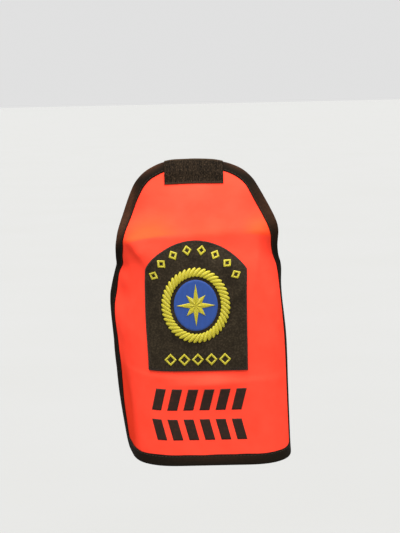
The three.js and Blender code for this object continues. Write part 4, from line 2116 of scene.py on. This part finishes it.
@dataclass
class Studio:
    """Camera, lights, floor and surroundings."""

    target: tuple[float, float, float] = (-5.0, -52.0, 100.0)
    distance: float = 1400.0
    pitch: float = 7.015
    roll: float = -1.233
    aim_right: float = 3.85
    aim_up: float = -0.07
    scale: float = 0.8998
    frame_width: int = 400
    floor_height: float = -300.0
    floor_half: float = 30.0
    sensor: float = 36.0
    ambient: float = 0.75
    # Each light: its name, the way to it, its strength and its angle across
    suns: tuple[tuple[str, tuple[float, float, float], float, float], ...] = (
        ("overhead_softbox", (0.0, -0.27, 1.0), 8.4, 55),
        ("side_fill", (0.6, -0.8, 0.1), 0.5, 80),
    )

    def camera(self) -> None:
        """Set up the camera at the photograph's angle."""
        data = bpy.data.cameras.new("camera")
        data.sensor_fit = "HORIZONTAL"
        data.sensor_width = self.sensor
        data.lens = self.sensor * self.distance / (self.frame_width * self.scale)
        data.clip_start, data.clip_end = 0.05, 100.0
        pitch, roll = math.radians(self.pitch), math.radians(self.roll)
        ahead = Vector((0, math.cos(pitch), -math.sin(pitch)))
        right = Vector((1, 0, 0))
        up = Vector((0, math.sin(pitch), math.cos(pitch)))
        aim = Vector(self.target) + right * self.aim_right + up * self.aim_up
        turned_right = right * math.cos(roll) + up * math.sin(roll)
        turned_up = -right * math.sin(roll) + up * math.cos(roll)
        basis = Matrix((turned_right, turned_up, -ahead)).transposed().to_4x4()
        camera = put_in_scene("camera", data)
        camera.matrix_world = Matrix.Translation((aim - ahead * self.distance) * MM) @ basis
        bpy.context.scene.camera = camera

    def sun(self, name: str, toward: tuple[float, float, float], strength: float, spread: float) -> None:
        """Add one broad soft light.

        Args:
            name: its name.
            toward: direction from the object to the light.
            strength: irradiance in watts per square metre.
            spread: its angle across in degrees.
        """
        data = bpy.data.lights.new(name, "SUN")
        data.energy = strength
        data.angle = math.radians(spread)
        light = put_in_scene(name, data)
        light.matrix_world = Vector(toward).to_track_quat("Z", "Y").to_matrix().to_4x4()

    def floor(self) -> None:
        """Add a plain pale floor."""
        size, z = self.floor_half, self.floor_height * MM
        corners = [(-size, -size, z), (size, -size, z), (size, size, z), (-size, size, z)]
        mesh = bpy.data.meshes.new("floor")
        mesh.from_pydata(corners, [], [(0, 1, 2, 3)])
        mesh.materials.append(FloorPaint().material())
        floor = put_in_scene("floor", mesh)

    def build(self) -> None:
        """Set up everything round the object."""
        self.camera()
        for sun in self.suns:
            self.sun(*sun)
        self.floor()
        world = bpy.data.worlds.new("pale_studio")
        world.use_nodes = True
        world.node_tree.nodes.clear()
        backdrop = add_node(
            world.node_tree, "ShaderNodeBackground",
            {"Color": (self.ambient, self.ambient, self.ambient, 1.0), "Strength": 1.0},
        )
        add_node(world.node_tree, "ShaderNodeOutputWorld", {"Surface": backdrop.outputs[0]})
        bpy.context.scene.world = world
        bpy.context.scene.view_settings.view_transform = "Standard"


def main() -> None:
    """Build the armband piece by piece and set up the studio."""
    logging.basicConfig(level=logging.INFO, format="%(message)s")
    Studio().build()
    cloth, back = CoatedCloth().material(), ClothBack().material()
    tape, thread = WovenTape().material(), SewingThread().material()
    # Each thread's dark colour is the painted shade in the gaps between its threads
    yellow = SatinThread(name="yellow_rayon_embroidery", colour="#B8AC1F", dark="#6B5F14").material()
    blue = SatinThread(
        name="blue_rayon_embroidery", colour="#1F4288", dark="#183468", thread=1.1,
    ).material()
    sewing = RepeatTree("forms_along_lines", along_lines=True)
    studs = RepeatTree("forms_on_points", along_lines=False)

    panel = Panel()
    cloth_piece = panel.build(cloth, back)
    bindings = Bindings().build(tape, thread, sewing)
    hook_tape = HookTape().build(HookNylon().material(), thread, studs, sewing)
    badge = Badge().build(BadgeTwill().material(), yellow, blue, thread, sewing)
    bars = PrintedBars().build(ScreenInk().material())
    strap = BackStrap().build(RibbedElastic().material(), thread, sewing)
    panel.cut_area()
    LOG.info("pieces: %d", 1 + len(bindings) + len(hook_tape) + len(badge) + len(bars) + len(strap))


if __name__ == "__main__":
    main()
